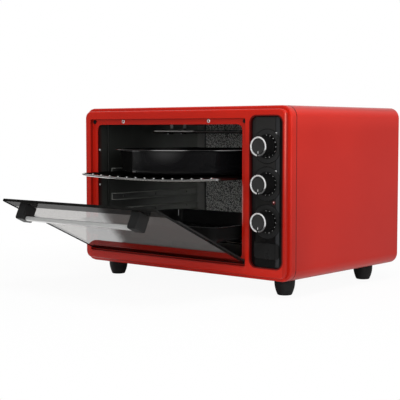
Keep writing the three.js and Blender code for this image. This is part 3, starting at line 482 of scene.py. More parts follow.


# Cavity
# Five sheets of steel, screwed behind the ledge. Sides, floor and roof carry smooth dark enamel with pale specks,
# painted lighter towards the back, with a painted red reflection at the front. The back carries a rough grey enamel
# whose pebbles catch the light.
enamel = Finish("dark_enamel", Coat_Weight=0.08, Coat_Roughness=0.2, Specular_IOR_Level=0.3)
specks = enamel.places.noise(1300, 1).rise(0.7, 0.76)
haze = enamel.places.noise(12, 4)
x, y, z = enamel.places.parts()
front_y, flange_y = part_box("cavity_left")[0].y, -0.0325
# Painted light: lighter towards the back and lower down, with painted shade along the front edge and the flange's
# line.
haze_and_painted_light = 0.036 + 0.09 * (y - 0.35 * z).rise(-0.14, 0.24) + 0.874 * (y - 0.2 * z).rise(0.0, 0.28)
haze_and_painted_light = (haze_and_painted_light * (0.6 + 0.4 * haze) + 0.05 * specks) * (y - front_y).rise(0.0015, 0.0035)
haze_and_painted_light = haze_and_painted_light * (y - flange_y).size().rise(0.0016, 0.0028)
grey = haze_and_painted_light.blend((0.008, 0.009, 0.008), (0.6, 0.62, 0.585))
# A painted red reflection of the frame along the front of the walls.
enamel.feed("Base Color", (y - front_y).fall(0.002, 0.013).blend(grey, (0.035, 0.004, 0.0035)))
enamel.feed("Roughness", 0.3 + 0.16 * haze)
enamel.feed("Normal", enamel.places.noise(260, 2).bump(0.08, 0.0005))
coat(("cavity_left", "cavity_right", "cavity_floor", "cavity_roof"), enamel)

fold = Finish("worn_enamel", Coat_Weight=0.2, Coat_Roughness=0.1)
scuff = fold.places.noise(30, 4)
fold.feed("Base Color", scuff.blend((0.4, 0.405, 0.39), (0.56, 0.565, 0.54)))
fold.feed("Roughness", 0.3 + 0.16 * scuff)
low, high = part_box("cavity_back")
floor_z, roof_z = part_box("cavity_floor")[1].z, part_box("cavity_roof")[0].z
lengths = np.linspace(floor_z + 0.0004, roof_z - 0.0004, 12)


def angle_strip(wall, side):
    """A folded strip that stands in a back corner: its outline, of two legs a millimetre thick, is carried up
    from the floor to the roof, and its first and last outlines close on their middles."""
    leg = np.array([(0.0002, -0.0188), (0.0052, -0.0016), (0.0062, -0.0016), (0.0062, -0.0006), (0.0046, -0.0004),
                    (0.0002, -0.0004)])
    outline = np.column_stack([wall + side * leg[:, 0], low.y + leg[:, 1]])
    rows = np.concatenate([np.broadcast_to(outline, (12, 6, 2)), lengths[:, None, None] * np.ones((12, 6, 1))], 2)
    return np.concatenate([rows[:1].mean(1, keepdims=True) * np.ones((1, 6, 1)), rows,
                           rows[-1:].mean(1, keepdims=True) * np.ones((1, 6, 1))])


make("corner_folds", [angle_strip(left_wall, 1), angle_strip(right_wall, -1)], "cabinet", fold, 20)

pebbled = Finish("pebbled_enamel", Specular_IOR_Level=0.4)
pebbles = pebbled.places.noise(395, 1)
# Painted shade: next to the corner folds the pebbles stay dark.
past_fold = (pebbled.places.parts()[0] - left_wall).rise(0.0095, 0.0115)
crests = 0.07 + 0.93 * pebbles.rise(0.43, 0.53) * past_fold
pebbled.feed("Base Color", crests.blend((0.045, 0.045, 0.043), (1.0, 1.0, 0.97)))
pebbled.feed("Roughness", 0.34 + 0.2 * pebbled.places.noise(9, 3))
pebbled.feed("Normal", pebbles.bump(0.8, 0.002))
coat(("cavity_back",), pebbled)


# Runners
# Folded channels of thin steel, three on each side wall, with the same dark enamel, paler along their lips and
# painted lighter towards the back as painted light.
rail = Finish("runner_enamel", Metallic=0.1)
rub = rail.places.noise(70, 4, stretch=(1, 0.12, 1))
x, y, z = rail.places.parts()
levels = ("upper", "middle", "lower")
lips = x * 0
for level in levels:
    low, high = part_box(f"runner_{level}_left")
    lips = lips.higher(z.line(low.z, 0.0007, 0.0013)).higher(z.line(high.z, 0.0007, 0.0013))
lips = lips.higher(y.line(low.y, 0.0008, 0.0014))
# Painted light: the fill is painted lighter towards the back.
worn = (0.1 * rub.rise(0.45, 0.75) + 0.9 * (y - 0.2 * z).rise(0.0, 0.26)).higher(lips * (0.35 + 0.25 * rub))
rail.feed("Base Color", worn.blend((0.05, 0.052, 0.05), (0.62, 0.64, 0.6)))
rail.feed("Roughness", 0.28 + 0.2 * rub)
coat([f"runner_{level}_{side}" for level in levels for side in ("left", "right")], rail)
rivets, web = [], 0.001
for level in levels:
    for side, turn in (("left", 1), ("right", -1)):
        node = f"runner_{level}_{side}"
        low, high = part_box(node)
        wall = (high.x if side == "right" else low.x) + turn * web
        rivets += [screw_head((wall, low.y + place * (high.y - low.y), middle(node)[2]), (turn, 0, 0), 0.0021)
                   for place in (0.12, 0.5, 0.88)]
make("runner_screws", rivets, "cabinet", plated)


# Heating elements
# Bent steel tubes with the heating wire packed inside. Use has tinted them brown and blue, and a painted highlight
# runs along the top tube.
def swept(path, radius, around=16, end_ease=0.0):
    """A tube round a path that stays nearly level: each ring is the point on the path, plus the radius times the
    cosine along the level side direction, plus the radius times the sine along the direction square to both.
    Both ends close on the path."""
    path = np.asarray(path, float)
    heading = np.gradient(path, axis=0)
    heading /= np.linalg.norm(heading, axis=1)[:, None]
    sideways = np.cross(heading, (0.0, 0.0, 1.0))
    sideways /= np.linalg.norm(sideways, axis=1)[:, None]
    upwards = np.cross(sideways, heading)
    angle = np.linspace(0, 2 * np.pi, around, endpoint=False)
    ring = (np.cos(angle)[None, :, None] * sideways[:, None] + np.sin(angle)[None, :, None] * upwards[:, None])
    body = path[:, None] + radius * ring
    first = np.broadcast_to(path[:1, None], (1, around, 3))
    last = np.broadcast_to(path[-1:, None], (1, around, 3))
    if end_ease:
        start = path[:1, None] + 0.6 * radius * ring[:1]
        finish = path[-1:, None] + 0.6 * radius * ring[-1:]
        body = np.concatenate([start - end_ease * heading[0], body, finish + end_ease * heading[-1]])
        first = first - end_ease * heading[0]
        last = last + end_ease * heading[-1]
    return np.concatenate([first, body, last])


def diagonal(x, y):
    """How far a place lies along a level line from the left front to the right rear, 41 degrees from x."""
    return 0.755 * x + 0.656 * y


tinted = Finish("heated_steel", Metallic=0.9)
tint = tinted.places.noise(26, 3)
brown = tint.node("ShaderNodeValToRGB", {"stops": [
    (0.3, shade((0.12, 0.105, 0.095))), (0.5, shade((0.24, 0.22, 0.2))), (0.68, shade((0.18, 0.17, 0.19)))]},
    {"Fac": tint})
x, y, z = tinted.places.parts()
clear = diagonal(x, y).rise(-0.1, -0.094) * diagonal(x, y).fall(-0.02, -0.012) * y.fall(0.1, 0.12)
# A painted highlight along the top tube, strongest on its left front run.
painted_highlight_ridge = z.line(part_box("top_heater")[1].z - 0.002, 0.0007, 0.0014) * (0.2 + 0.8 * clear)
tinted.feed("Base Color", painted_highlight_ridge.blend(brown, (0.9, 0.88, 0.85)))
tinted.feed("Metallic", 0.9 - 0.8 * painted_highlight_ridge)
tinted.feed("Roughness", 0.14 + 0.14 * tinted.places.noise(140, 3))
for node in ("top_heater", "bottom_heater"):
    low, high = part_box(node)
    radius = (high.z - low.z) / 2
    turn = (high.y - low.y) / 2 - radius
    angle = np.linspace(-np.pi / 2, -3 * np.pi / 2, 25)
    bend_x = low.x + radius + turn
    along = np.linspace(high.x, bend_x, 12, endpoint=False)
    _, middle_y, level = middle(node)
    x = np.concatenate([along, bend_x + turn * np.cos(angle), along[::-1]])
    y = np.concatenate([0 * along - turn, turn * np.sin(angle), 0 * along + turn]) + middle_y
    path = np.stack([x, y, np.full_like(x, level)], 1)
    tube = make(node + "_tube", [swept(path, radius)], "cabinet", tinted)
    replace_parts(tube, node)

held = Finish("hanger_steel", Metallic=0.8)
low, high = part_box("top_heater")
# Painted light on the hangers above the top tube and painted shade below it.
painted_shade_below_heater = (held.places.parts()[2] - high.z).fall(0.0, 0.006)
held.feed("Base Color", painted_shade_below_heater.blend(0.85, (0.035, 0.033, 0.03)))
held.feed("Roughness", 0.3 + 0.2 * held.places.noise(160, 3))
coat(("top_hanger", "bottom_support"), held)
pin_z = low.z - 0.0012
low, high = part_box("top_hanger")
pins = [screw_head((middle("top_hanger")[0], y, pin_z), (0, -1, 0), 0.0011) for y in (low.y - 0.0002, low.y + 0.04)]
make("hanger_pins", pins, "cabinet", pale)

glazed = Finish("glazed_ceramic", Coat_Weight=0.4, Coat_Roughness=0.1)
crumb = glazed.places.noise(180, 4)
glazed.feed("Base Color", crumb.blend((0.6, 0.57, 0.5), (0.78, 0.76, 0.7)))
glazed.feed("Roughness", 0.36 + 0.2 * crumb)
for node in ("top_heater_bush", "bottom_heater_bush"):
    dress(node, glazed)


# Wire rack
# A thick rod bent to a frame, with thinner wires welded across it and a brace under them, all chrome plated. It
# sags at the front. All but the front rod are painted dark, as painted shade, and on the front rod the wires' ends
# shine.
wire = Finish("rack_chrome", Metallic=1.0)
worn = wire.places.noise(80, 4)
low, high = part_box("wire_rack")
rod, strand, sag, raised = 0.0021, 0.0014, 0.0055, 0.0029
middle_x, half_x, rod_z = middle("wire_rack")[0], (high.x - low.x) / 2, high.z - strand - raised
x, y, z = wire.places.parts()
# Painted shade: all but the front rod are painted dark.
painted_shade_behind_front = (y - low.y).rise(0.004, 0.008)
clean = worn.blend((0.78, 0.78, 0.77), (0.95, 0.95, 0.94))
wire.feed("Base Color", painted_shade_behind_front.blend(clean, (0.1, 0.097, 0.09)))
wire.feed("Roughness", 0.12 + 0.14 * worn + 0.2 * painted_shade_behind_front)
across = (x - middle_x) * (1 / half_x)
end_z = high.z - strand - sag * (1 - across * across)
tips = (z - end_z).rise(-0.0002, 0.0003) * (y - low.y).fall(0.0022, 0.0036)
wire.feed("Metallic", 1 - 0.65 * tips)
left, right, front, back = low.x + rod, high.x - rod, low.y + rod, high.y - rod


def sunk(x, y):
    """How far the rack hangs down at a place: the full sag at the middle of the front, less by the square of the
    distance to the side, and less in a straight line to nothing at the back."""
    across = np.clip((x - middle_x) / half_x, -1, 1)
    return sag * (1 - across ** 2) * (high.y - y) / (high.y - low.y)


corner, gap = 0.012, 0.0003
quarter = np.linspace(0, np.pi / 2, 9)
arcs = [np.stack([x + corner * np.sin(quarter + turn), y + corner * np.cos(quarter + turn)], 1)
        for x, y, turn in ((right - corner, back - corner, 0), (right - corner, front + corner, np.pi / 2),
                           (left + corner, front + corner, np.pi), (left + corner, back - corner, 1.5 * np.pi))]
front_rod = np.stack([np.linspace(right - corner, left + corner, 33), np.full(33, front)], 1)[1:-1]
halves = [np.stack([np.linspace(x0, x1, 6), np.full(6, back)], 1)
          for x0, x1 in ((middle_x + gap, right - corner), (left + corner, middle_x - gap))]
loop = np.concatenate([halves[0], *arcs[:2], front_rod, *arcs[2:], halves[1]])
on_front = loop[:, 1] < front + 1e-6
drop = np.where(on_front, sunk(loop[:, 0], loop[:, 1]), 0)
rack_parts = [swept(np.column_stack([loop, rod_z - drop]), rod, 14)]
pitch = 0.0236
count = 2 * int((right - left - pitch) / pitch / 2) + 1
along = np.linspace(0, 1, 10)
for x in middle_x + pitch * (np.arange(count) - (count - 1) / 2):
    y = front - rod * 0.5 + along * (back - front + rod)
    z = rod_z + raised - sunk(x, front) * (1 - along)
    rack_parts.append(swept(np.column_stack([np.full(10, x), y, z]), strand, 10, 0.0004))
x = np.linspace(left, right, 25)
brace_y = (front + back) / 2
rack_parts.append(swept(np.column_stack([x, np.full(25, brace_y), rod_z - sunk(x, brace_y)]), 0.0019, 12))
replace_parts(make("rack_wires", rack_parts, "rack", wire), "wire_rack")


# Round pan
# A deep pan pressed from one disc of steel, with a flared wall and a flat rim, under gloss black enamel. Parts of
# the rim carry painted highlights and the wall painted reflections, and the left of the wall is a dull coat of
# painted shade.
gloss = Finish("black_gloss_enamel", Coat_Weight=0.2, Coat_Roughness=0.04, Specular_IOR_Level=0.16)
low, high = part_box("round_pan")
wider = 0.0035    # half of what the rim adds in width
centre = (middle("round_pan")[0] - wider, middle("round_pan")[1], low.z)
rim, tall, wall = (high.x - low.x) / 2 + wider, high.z - low.z, 0.0012
x, y, z = gloss.places.parts()
risen = z - low.z
along = diagonal(x, y)
lit_left = along.rise(-0.1, -0.08) * along.fall(-0.04, -0.018)
lit = lit_left.higher(along.rise(0.02, 0.034) * along.fall(0.07, 0.085))
# Painted highlights on parts of the rim and painted reflections on the wall.
painted_highlight_rim = ((x - centre[0]).reach(y - centre[1]) - rim).rise(-0.0009, -0.0003) * (0.06 + 0.94 * lit)
painted_highlight_rim = painted_highlight_rim * risen.rise(0.02, 0.03)
sheen = along.rise(-0.1305, -0.1285) * (1 - 0.7 * along.rise(-0.125, -0.11)) * along.fall(-0.085, -0.06)
painted_reflection_patch = (math.sqrt(0.5) * (along + 0.069)).reach(z - high.z).fall(0.0, 0.032)
sheen = (0.055 * sheen * risen.rise(0.008, 0.03)).higher(0.14 * painted_reflection_patch)
speck = gloss.places.noise(1700, 1).rise(0.74, 0.78)
# Pale specks, with the painted highlights and painted reflections over them.
worn = (speck * 0.1).higher(painted_highlight_rim).higher(sheen)
gloss.feed("Base Color", worn.blend((0.0045, 0.0045, 0.005), 0.3))
gloss.feed("Roughness", 0.13 + 0.12 * gloss.places.noise(28, 4))
gloss.feed("Normal", gloss.places.noise(110, 2).bump(0.05, 0.0006))
# Painted shade: the left of the wall is a dull dark coat in place of its reflection.
gloss.dull(along.fall(-0.1325, -0.1305) * (z - high.z + 0.004).fall(0.0, 0.002), 0.006)
neck = rim - 0.011
foot = neck - 0.004
profile = eased([(0, 0), (foot, 0), (neck, tall - 2 * wall), (rim, tall - wall), (rim, tall), (neck, tall),
                 (neck - wall, tall - 3 * wall), (foot - wall, wall), (0, wall)],
                [0.0085, 0.0025, 0.0006, 0.0006, 0.0035, 0.0015, 0.0075], 8)
pan = make("pan_enamelled", [turned(profile, centre, (0, 0, 1), 128)], "rack", gloss)
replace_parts(pan, "round_pan")


# Baking tray
# A rectangular tray pressed from thin sheet, with round corners, sloping walls and a flat lip that lies in the
# lower runners. It has the same black enamel as the pan, glossy inside, with a painted highlight in one rear corner.
def oblong(box, corner, level, per_corner=12, per_side=4):
    """Points once round a rectangle with round corners, as an angle runs through each corner and a share runs
    along each side between them, at one height."""
    x0, x1, y0, y1 = box
    turn = np.linspace(0, np.pi / 2, per_corner)
    share = np.linspace(0, 1, per_side + 2)[1:-1]
    middles = [(x1 - corner, y1 - corner), (x0 + corner, y1 - corner), (x0 + corner, y0 + corner),
               (x1 - corner, y0 + corner)]
    arcs = [np.stack([cx + corner * np.cos(turn + k * np.pi / 2), cy + corner * np.sin(turn + k * np.pi / 2)], 1)
            for k, (cx, cy) in enumerate(middles)]
    rows = []
    for here, after in zip(arcs, arcs[1:] + arcs[:1]):
        rows += [here, here[-1] + share[:, None] * (after[0] - here[-1])]
    flat = np.vstack(rows)
    return np.column_stack([flat, np.full(len(flat), level)])


low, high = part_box("baking_tray")
sheet, lip, corner = 0.001, 0.008, 0.026
deep = high.z - low.z
inset = lip + 0.005
steps = eased([(inset + 0.2, 0), (inset + 0.0005, 0), (lip, deep - sheet), (0, deep - sheet), (0, deep), (lip, deep),
               (lip + sheet, deep - sheet), (inset + sheet, sheet), (inset + 0.2, sheet)],
              [0.0065, 0.0015, 0.0003, 0.0003, 0.002, 0.001, 0.006], 6)
steps = np.vstack([[inset + 0.012, 0], steps[1:-1], [inset + 0.012, sheet]])
rings = [oblong((low.x + d, high.x - d, low.y + d, high.y - d), max(corner - d, 0.006), low.z + z) for d, z in steps]
middle_x, middle_y, _ = middle("baking_tray")
on_axis = np.broadcast_to(np.array([middle_x, middle_y, 0.0]), rings[0].shape)
plain_gloss = Finish("tray_enamel", Coat_Roughness=0.05, Specular_IOR_Level=0.08)
x, y, z = plain_gloss.places.parts()
# A painted highlight in the rear left corner.
glint = diagonal(x, y).line(-0.0491, 0.0005, 0.0011) * y.rise(0.12, 0.13)
glint = glint * z.rise(0.1085, 0.1105) * z.fall(0.1215, 0.1235)
speck = plain_gloss.places.noise(1700, 1).rise(0.74, 0.78)
plain_gloss.feed("Base Color", (speck * 0.04).higher(glint).blend((0.013, 0.013, 0.0133), 0.95))
plain_gloss.feed("Roughness", 0.2 + 0.12 * plain_gloss.places.noise(28, 4))
plain_gloss.feed("Coat Weight", 0.5 * (y - low.y).rise(0.018, 0.022))
past_x = ((x - middle_x).size() - (high.x - low.x) / 2 + corner).higher(0.0)
past_y = ((y - middle_y).size() - (high.y - low.y) / 2 + corner).higher(0.0)
within = corner - past_x.reach(past_y)
outer_wall = (within + 0.16 * (z - low.z)).fall(0.0132, 0.0134) * (z - high.z + 0.003).fall(0.0, 0.0015)
plain_gloss.dull(outer_wall, 0.009)
under, over = on_axis + [0, 0, low.z], on_axis + [0, 0, low.z + sheet]
tray = make("tray_enamelled", [np.stack([under, *rings, over])], "tray", plain_gloss)
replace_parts(tray, "baking_tray")


# Control panel
# A moulded insert of near-black gloss plastic with sloping long edges and a round boss behind each knob, painted
# lighter towards the top and on its right slope, with painted shade round the knobs and the opening's edge. Grey
# ticks are printed round the bosses, and a small nought stands at the upper right of the upper two.
panel = Finish("panel_gloss", Coat_Weight=0.1, Coat_Roughness=0.08, Specular_IOR_Level=0.28)
controls = ("thermostat", "selector", "timer")
low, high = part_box("control_panel")
pad_y, boss_y, flat_y = low.y, low.y + 0.0006, low.y + 0.0014
x, y, z = panel.places.parts()
on_pad = (pad_y + 0.0007 - y).rise(0.0, 0.0003) * (0.0995 - z).rise(0.0, 0.001)
disc, groove, boss = 0.0218, 0.0305, 0.0298
painted_shade_recess, raised_ring = on_pad * 0, on_pad * 0
for control in controls:
    knob_x, _, knob_z = middle(control + "_knob")
    reach = (x - knob_x).reach(z - knob_z)
    painted_shade_recess = painted_shade_recess.higher(reach.fall(disc, disc + 0.0006)).higher(0.8 * reach.line(groove, 0.0004, 0.0011))
    raised_ring = raised_ring.higher(reach.fall(boss, boss + 0.0006))
from_right = x - high.x
rimmed = past_opening(x, z).rise(-0.0022, -0.0014).higher(from_right.rise(-0.0084, -0.0074))
painted_light_slope = from_right.rise(-0.0162, -0.0154) * (1 - rimmed) * (1 - raised_ring)
painted_shade_recess = painted_shade_recess.higher(rimmed).higher(from_right.line(-0.0162, 0.0004, 0.0009) * (1 - raised_ring))
# Painted light and shade: lighter towards the top and on the slope, dark round the knobs and the opening's edge.
height = (z - low.z) / (high.z - low.z)
panel_tone_and_painted_light = height.rise(0.15, 0.8).blend(0.0025, (0.023, 0.0225, 0.022))
for share, colour in ((raised_ring * 0.5, (0.024, 0.0245, 0.025)), (painted_light_slope, (0.027, 0.028, 0.03)), (on_pad, 0.011),
                      (painted_shade_recess, 0.0035)):
    panel_tone_and_painted_light = share.blend(panel_tone_and_painted_light, colour)
panel.feed("Base Color", panel_tone_and_painted_light)
panel.feed("Roughness", 0.24 + 0.1 * panel.places.noise(40, 4))
panel.feed("Normal", panel.places.noise(900, 2).bump(0.05, 0.0003))
dress("control_panel", panel, 8, 0.0003)

tick_ink = Finish("grey_print", Roughness=0.6)
tick_ink.feed("Base Color", tick_ink.places.noise(400, 2).rise(0.3, 0.7).blend(0.4, 0.85))
ticks, noughts = [], []
dial, step, over, under = 0.0198, 23.75, 0.00008, -0.0001
dot = [(0, over), (0.0006, over), (0.0006, under), (0, under)]
ring = [(0.0009, over), (0.0016, over), (0.0016, under), (0.0009, under), (0.0009, over)]
for control in controls:
    x, _, z = middle(control + "_knob_ring")
    for turn in np.radians(93 - step * np.arange(12)):
        ticks.append(turned(dot, (x + dial * math.cos(turn), boss_y, z + dial * math.sin(turn)), (0, -1, 0), 12))
    if control != "timer":
        noughts.append(turned(ring, (x + dial, flat_y, z + 0.0232), (0, -1, 0), 24))
make("dial_ticks", ticks, "cabinet", tick_ink)
make("dial_noughts", noughts, "cabinet", tick_ink)


# Indicator
# A dark red lens pressed into the panel, with a painted highlight on its dome, and a lamp holder behind it.
lens = Finish("red_lens", Coat_Weight=0.8, Coat_Roughness=0.03, IOR=1.55)
glow = lens.places.noise(500, 2)
low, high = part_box("indicator_lens")
centre = (middle("indicator_lens")[0], high.y, middle("indicator_lens")[2])
x, y, z = lens.places.parts()
# A painted highlight on the dome.
shine = (x - centre[0] - 0.001).reach(z - centre[2] - 0.0011).fall(0.0006, 0.0015)
dark_red = glow.blend((0.05, 0.003, 0.003), (0.11, 0.007, 0.006))
lens.feed("Base Color", shine.blend(dark_red, (0.8, 0.5, 0.5)))
lens.feed("Roughness", 0.1 + 0.08 * glow)
reach, tall = (high.x - low.x) / 2, high.y - low.y
dome = np.linspace(np.pi / 2, 0, 9)[1:]
rise = 0.0022
profile = np.vstack([[0, tall], np.column_stack([1.16 * reach * np.cos(dome), tall - rise + rise * np.sin(dome)]),
                     [reach, tall - rise], [reach, 0], [0, 0]])
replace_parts(make("lens_dome", [turned(profile, centre, (0, -1, 0), 40)], "cabinet", lens),
            "indicator_lens")
coat(("indicator_lamp",), glazed)


# Switches behind the panel
# Steel cases with a neck through the bracket and flat tags at the back, each with a round shaft to its knob.
case = Finish("switch_steel", Metallic=1.0)
rolled = case.places.noise(300, 3, stretch=(1, 0.08, 1))
case.feed("Base Color", rolled.blend((0.38, 0.38, 0.37), (0.56, 0.56, 0.55)))
case.feed("Roughness", 0.3 + 0.2 * rolled)
for node in ("thermostat_body", "selector_switch", "timer_body", "thermostat_shaft", "selector_shaft", "timer_shaft"):
    dress(node, case, 50)


# Knobs
# Moulded black grips on a thin skirt. The face is dished and spun, with a white line at the off place, and the
# bright ring pressed round it has a painted dark reflection in one arc and is notched at the line.
grip = Finish("knob_moulding", Specular_IOR_Level=0.22)
mat = grip.places.noise(1400, 2)
grip.feed("Base Color", mat.blend(0.003, 0.006))
grip.feed("Roughness", 0.42 + 0.12 * mat)
grip.feed("Normal", mat.bump(0.1, 0.0002))
face = Finish("knob_face_spun", Metallic=0.3, Anisotropic=0.5)
chrome = Finish("chrome_ring", Metallic=0.55)
film = chrome.places.noise(200, 3)
x, y, z = chrome.places.parts()
# A painted dark reflection in one arc of each ring, at its lower right.
painted_dark_arc = x * 0
for control in controls:
    knob_x, _, knob_z = middle(control + "_knob_ring")
    across, above = x - knob_x, z - knob_z
    near = across.reach(above).fall(0.02, 0.021)
    painted_dark_arc = painted_dark_arc.higher(near * (0.56 * across - 0.83 * above).rise(0.0128, 0.0146))
bright = film.blend((0.93, 0.93, 0.93), (0.99, 0.99, 0.99))
chrome.feed("Base Color", (painted_dark_arc * 0.9).blend(bright, 0.07))
chrome.feed("Roughness", 0.24 + 0.1 * film)
spun = face.places.noise(900, 2, stretch=(0.3, 1, 1))
face.feed("Base Color", spun.blend(0.027, 0.052))
face.feed("Roughness", 0.3 + 0.16 * spun)
ink = Finish("white_print", Roughness=0.6)
ink.feed("Base Color", ink.places.noise(2600, 2).blend(0.5, 0.78))
mm = 0.001
skirt, flank, seat, hollow, shoulder, top = 18.2, 16.7, 13.8, 12.7, 23.2, 24.5    # radii, then two heights, in mm
for control in controls:
    knob_x, _, knob_z = middle(control + "_knob_ring")
    centre = np.array((knob_x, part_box(control + "_knob_ring")[0].y + top * mm, knob_z))
    body = control + "_control"
    outline = eased([(0, 0), (skirt, 0), (skirt, 1.4), (skirt - 1, 3.2), (flank, shoulder), (seat, shoulder),
                     (seat, top), (seat - 0.6, top), (hollow, top - 0.2)], [0.3, 0.5, 1.6, 0.3, 0.2, 0.35, 0.2], 4)
    dish = np.linspace(hollow, 0, 8)[1:]
    dish = np.column_stack([dish, top - 0.2 - 0.35 * (1 - (dish / hollow) ** 2)])
    knob = make(control + "_grip", [turned(np.vstack([outline, dish]) * mm, centre, (0, -1, 0), 96)],
                body, grip)
    knob.data.materials.append(face.material)
    middles = np.empty(len(knob.data.polygons) * 3, np.float32)
    knob.data.polygons.foreach_get("center", middles)
    middles = middles.reshape(-1, 3) - centre
    on_face = (np.hypot(middles[:, 0], middles[:, 2]) < (seat - 0.5) * mm) & (middles[:, 1] < -shoulder / 2 * mm)
    knob.data.polygons.foreach_set("material_index", on_face.astype(np.int32))
    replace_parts(knob, control + "_knob")
    band = eased([(15.7, 23.2), (17.2, 23.3), (17.4, 24.2), (16.7, 25.5), (15.6, 25.7), (14.4, 24.5), (14.4, 23.3),
                  (15.7, 23.2)], [0.2, 0.5, 0.7, 0.6, 0.8, 0.2], 6) * mm
    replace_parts(make(control + "_ring", [turned(band, centre, (0, -1, 0), 128)], body, chrome),
                control + "_knob_ring")
    # the white line and the ring's notch, each with its four sides and then the heights of its two ends, in mm
    for name, edges, levels, finish in (("pointer", (-0.6, 0.6, -12.2, -8.2), (23.8, 24.55), ink),
                                        ("notch", (-1.2, 1.2, -17.75, -14.0), (22.7, 25.78), grip)):
        line = oblong([edge * mm for edge in edges], 0.3 * mm, 0, 4, 2)
        stack = [np.column_stack([line[:, 0], np.full(len(line), -h * mm), line[:, 1]]) + centre for h in levels]
        ends = [np.broadcast_to(layer.mean(0), layer.shape) for layer in stack]
        make(control + "_" + name, [np.stack([ends[0], *stack, ends[1]])], body, finish, 60)


# Hinge arms
# Stamped steel straps under the inner face of the glass, each with an ear and a pin that turns in its bush.
dark_steel = Finish("dark_painted_steel", Metallic=0.3)
drawn = dark_steel.places.noise(120, 3)
dark_steel.feed("Base Color", drawn.blend(0.012, 0.03))
dark_steel.feed("Roughness", 0.38 + 0.2 * drawn)
for node in ("hinge_arm_left", "hinge_arm_right"):
    dress(node, dark_steel, 45, 0.0003)


# Door glass
# A toughened smoked pane, strongly reflective, with a dark band fired onto its top edge and ground edges.
glass = Finish("smoked_glass", Roughness=0.02, IOR=1.62, Transmission_Weight=1.0,
               Base_Color=shade((0.3, 0.285, 0.27)))
_, hinge_y, hinge_z = middle("hinge_bush_left")
lean, tall, band, ground_edge = math.radians(65), 0.2585, 0.0281, 0.0016
low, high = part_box("door_glass")
x, y, z = glass.places.parts()
risen = (z - hinge_z) * math.cos(lean) - (y - hinge_y) * math.sin(lean)
fired = risen.rise(tall - band - 0.0003, tall - band + 0.0003)
ground = risen.rise(tall - ground_edge - 0.0002, tall - ground_edge + 0.0002).higher(risen.fall(0.0028, 0.0038))
ground = ground.higher((x - low.x).fall(0.009, 0.0098)).higher(0.65 * (x - high.x).rise(-0.0005, -0.0002))
streak = glass.places.noise(60, 3, stretch=(1, 0.2, 0.2))
dark = streak.node("ShaderNodeBsdfPrincipled", None, {
    "Base Color": streak.blend((0.006, 0.006, 0.006), (0.014, 0.014, 0.013)),
    "Roughness": 0.22 + 0.14 * streak, "Specular IOR Level": 0.0})
glass.give_way((0.7 * fired).higher(ground), dark)
coat(("door_glass",), glass)


# Handle
# Two moulded brackets screwed through the glass, and a brushed aluminium bar pressed into them.
for node in ("handle_bracket_left", "handle_bracket_right"):
    dress(node, moulded, 45)
satin = Finish("brushed_aluminium", Metallic=0.65)
brush = satin.places.noise(1500, 3, stretch=(0.02, 1, 1))
satin.feed("Base Color", brush.blend((0.84, 0.84, 0.83), (0.96, 0.96, 0.95)))
satin.feed("Roughness", 0.34 + 0.14 * brush)
satin.feed("Normal", brush.bump(0.08, 0.0002))
dress("handle_bar", satin, 60)
for node in ("handle_screw_left", "handle_screw_right"):
    dress(node, plated, 40)


# Door buffers
# Soft black buttons in the upper corners of the ledge, which the closed glass rests on.
for node in ("door_buffer_left", "door_buffer_right"):
    dress(node, rubber, 50)


# Studio
# A white floor that keeps the oven's shadow, soft lamps at the right, above and in front, and a camera that looks
# slightly down at the oven's right front corner.
def rays(value):
    """Whether a ray comes from the camera, also through glass, and from a gloss, each as 0 or 1."""
    path = value.node("ShaderNodeLightPath").outlet.node
    camera, gloss, through = (Value(value.tree, path.outputs[f"Is {kind} Ray"])
                              for kind in ("Camera", "Glossy", "Transmission"))
    return camera.higher(through), gloss


# White to the camera. Gloss finds a painted shadow on it under and before the oven.
far = 12.0
mesh = bpy.data.meshes.new("floor_mesh")
mesh.from_pydata([(-far, -far, 0), (far, -far, 0), (far, far, 0), (-far, far, 0)], [], [(0, 1, 2, 3)])
floor = stand("floor", mesh)
white = Finish("floor_white", Base_Color=shade(0.86), Roughness=0.9, Specular_IOR_Level=0.0)
seen, glossy_ray = rays(white.places)
x, y, z = white.places.parts()
away = x.reach(y).rise(0.35, 0.9)
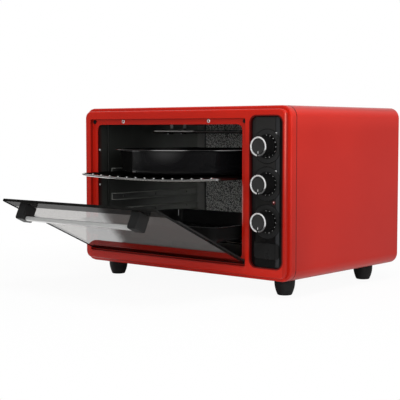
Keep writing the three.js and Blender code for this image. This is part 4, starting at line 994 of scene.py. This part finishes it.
# A painted shadow for gloss under and before the oven.
clear = (x.size() - 0.195).higher(y.size() - 0.34).rise(0.0, 0.045)
share = seen * (0.94 + 0.06 * away) + (1 - seen) * glossy_ray * (0.4 + 0.6 * clear)
beside = y.rise(-0.42, -0.24) * (1 - 0.72 * x.rise(-0.1, 0.5))
ahead = x.rise(0.8, 1.4) * y.fall(-0.6, -0.3)
level = seen + (1 - seen) * clear * (0.12 + 0.88 * beside.higher(ahead))
white.give_way(share, level.node("ShaderNodeEmission", None, {"Strength": level}))
mesh.materials.append(white.material)

# White to the camera too. Gloss finds it bright behind and low at the right.
world = bpy.data.worlds.new("studio")
bpy.context.scene.world = world
world.use_nodes = True
tree = world.node_tree
background = tree.nodes["Background"]
background.inputs["Color"].default_value = shade(1.0)
way = Value(tree, tree.nodes.new("ShaderNodeTexCoord").outputs["Generated"])
x, y, z = way.parts()
seen, glossy_ray = rays(way)
behind = y.rise(-0.35, 0.3)
beside = x.rise(0.6, 0.8) * y.line(-0.48, 0.2, 0.3) * z.fall(0.14, 0.26)
bright = z.rise(0.2, 0.9).higher(0.65 * (0 - x).rise(-0.2, 0.5))
in_gloss = 0.12 + 0.88 * beside + behind * (0.2 + 0.6 * bright)
strength = seen + (1 - seen) * (glossy_ray * in_gloss + (1 - glossy_ray) * 0.38)
tree.links.new(strength.outlet, background.inputs["Strength"])


def lamp(name, place, target, size, power):
    """A rectangular area lamp of two sizes at a place, facing a target."""
    data = bpy.data.lights.new(name, "AREA")
    data.shape = "RECTANGLE"
    data.size, data.size_y = size
    data.energy = power
    thing = stand(name, data)
    thing.location = place
    thing.visible_camera = False
    thing.visible_glossy = False
    thing.rotation_euler = (Vector(target) - Vector(place)).to_track_quat("-Z", "Y").to_euler()


lamp("key", (2.6, -1.4, 0.95), (0, 0, 0.95), (1.3, 1.86), 39)
lamp("top", (0.6, -0.4, 2.2), (0, 0, 0.2), (1.4, 1.4), 28)
lamp("front", (0.9, -2.7, 0.7), (0, 0, 0.2), (0.8, 1.2), 13)

camera = bpy.data.cameras.new("view")
camera.lens = 92.17
eye = stand("view", camera)
turn, dip = math.radians(40.957), math.radians(3.956)
back = Vector((math.sin(turn) * math.cos(dip), -math.cos(turn) * math.cos(dip), math.sin(dip)))
aside = Vector((math.cos(turn), math.sin(turn), 0))
up = back.cross(aside)
eye.matrix_world = Matrix((aside, up, back)).transposed().to_4x4()
eye.location = (1.3044, -1.50607, 0.2991)
bpy.context.scene.camera = eye
bpy.context.scene.view_settings.view_transform = "Standard"
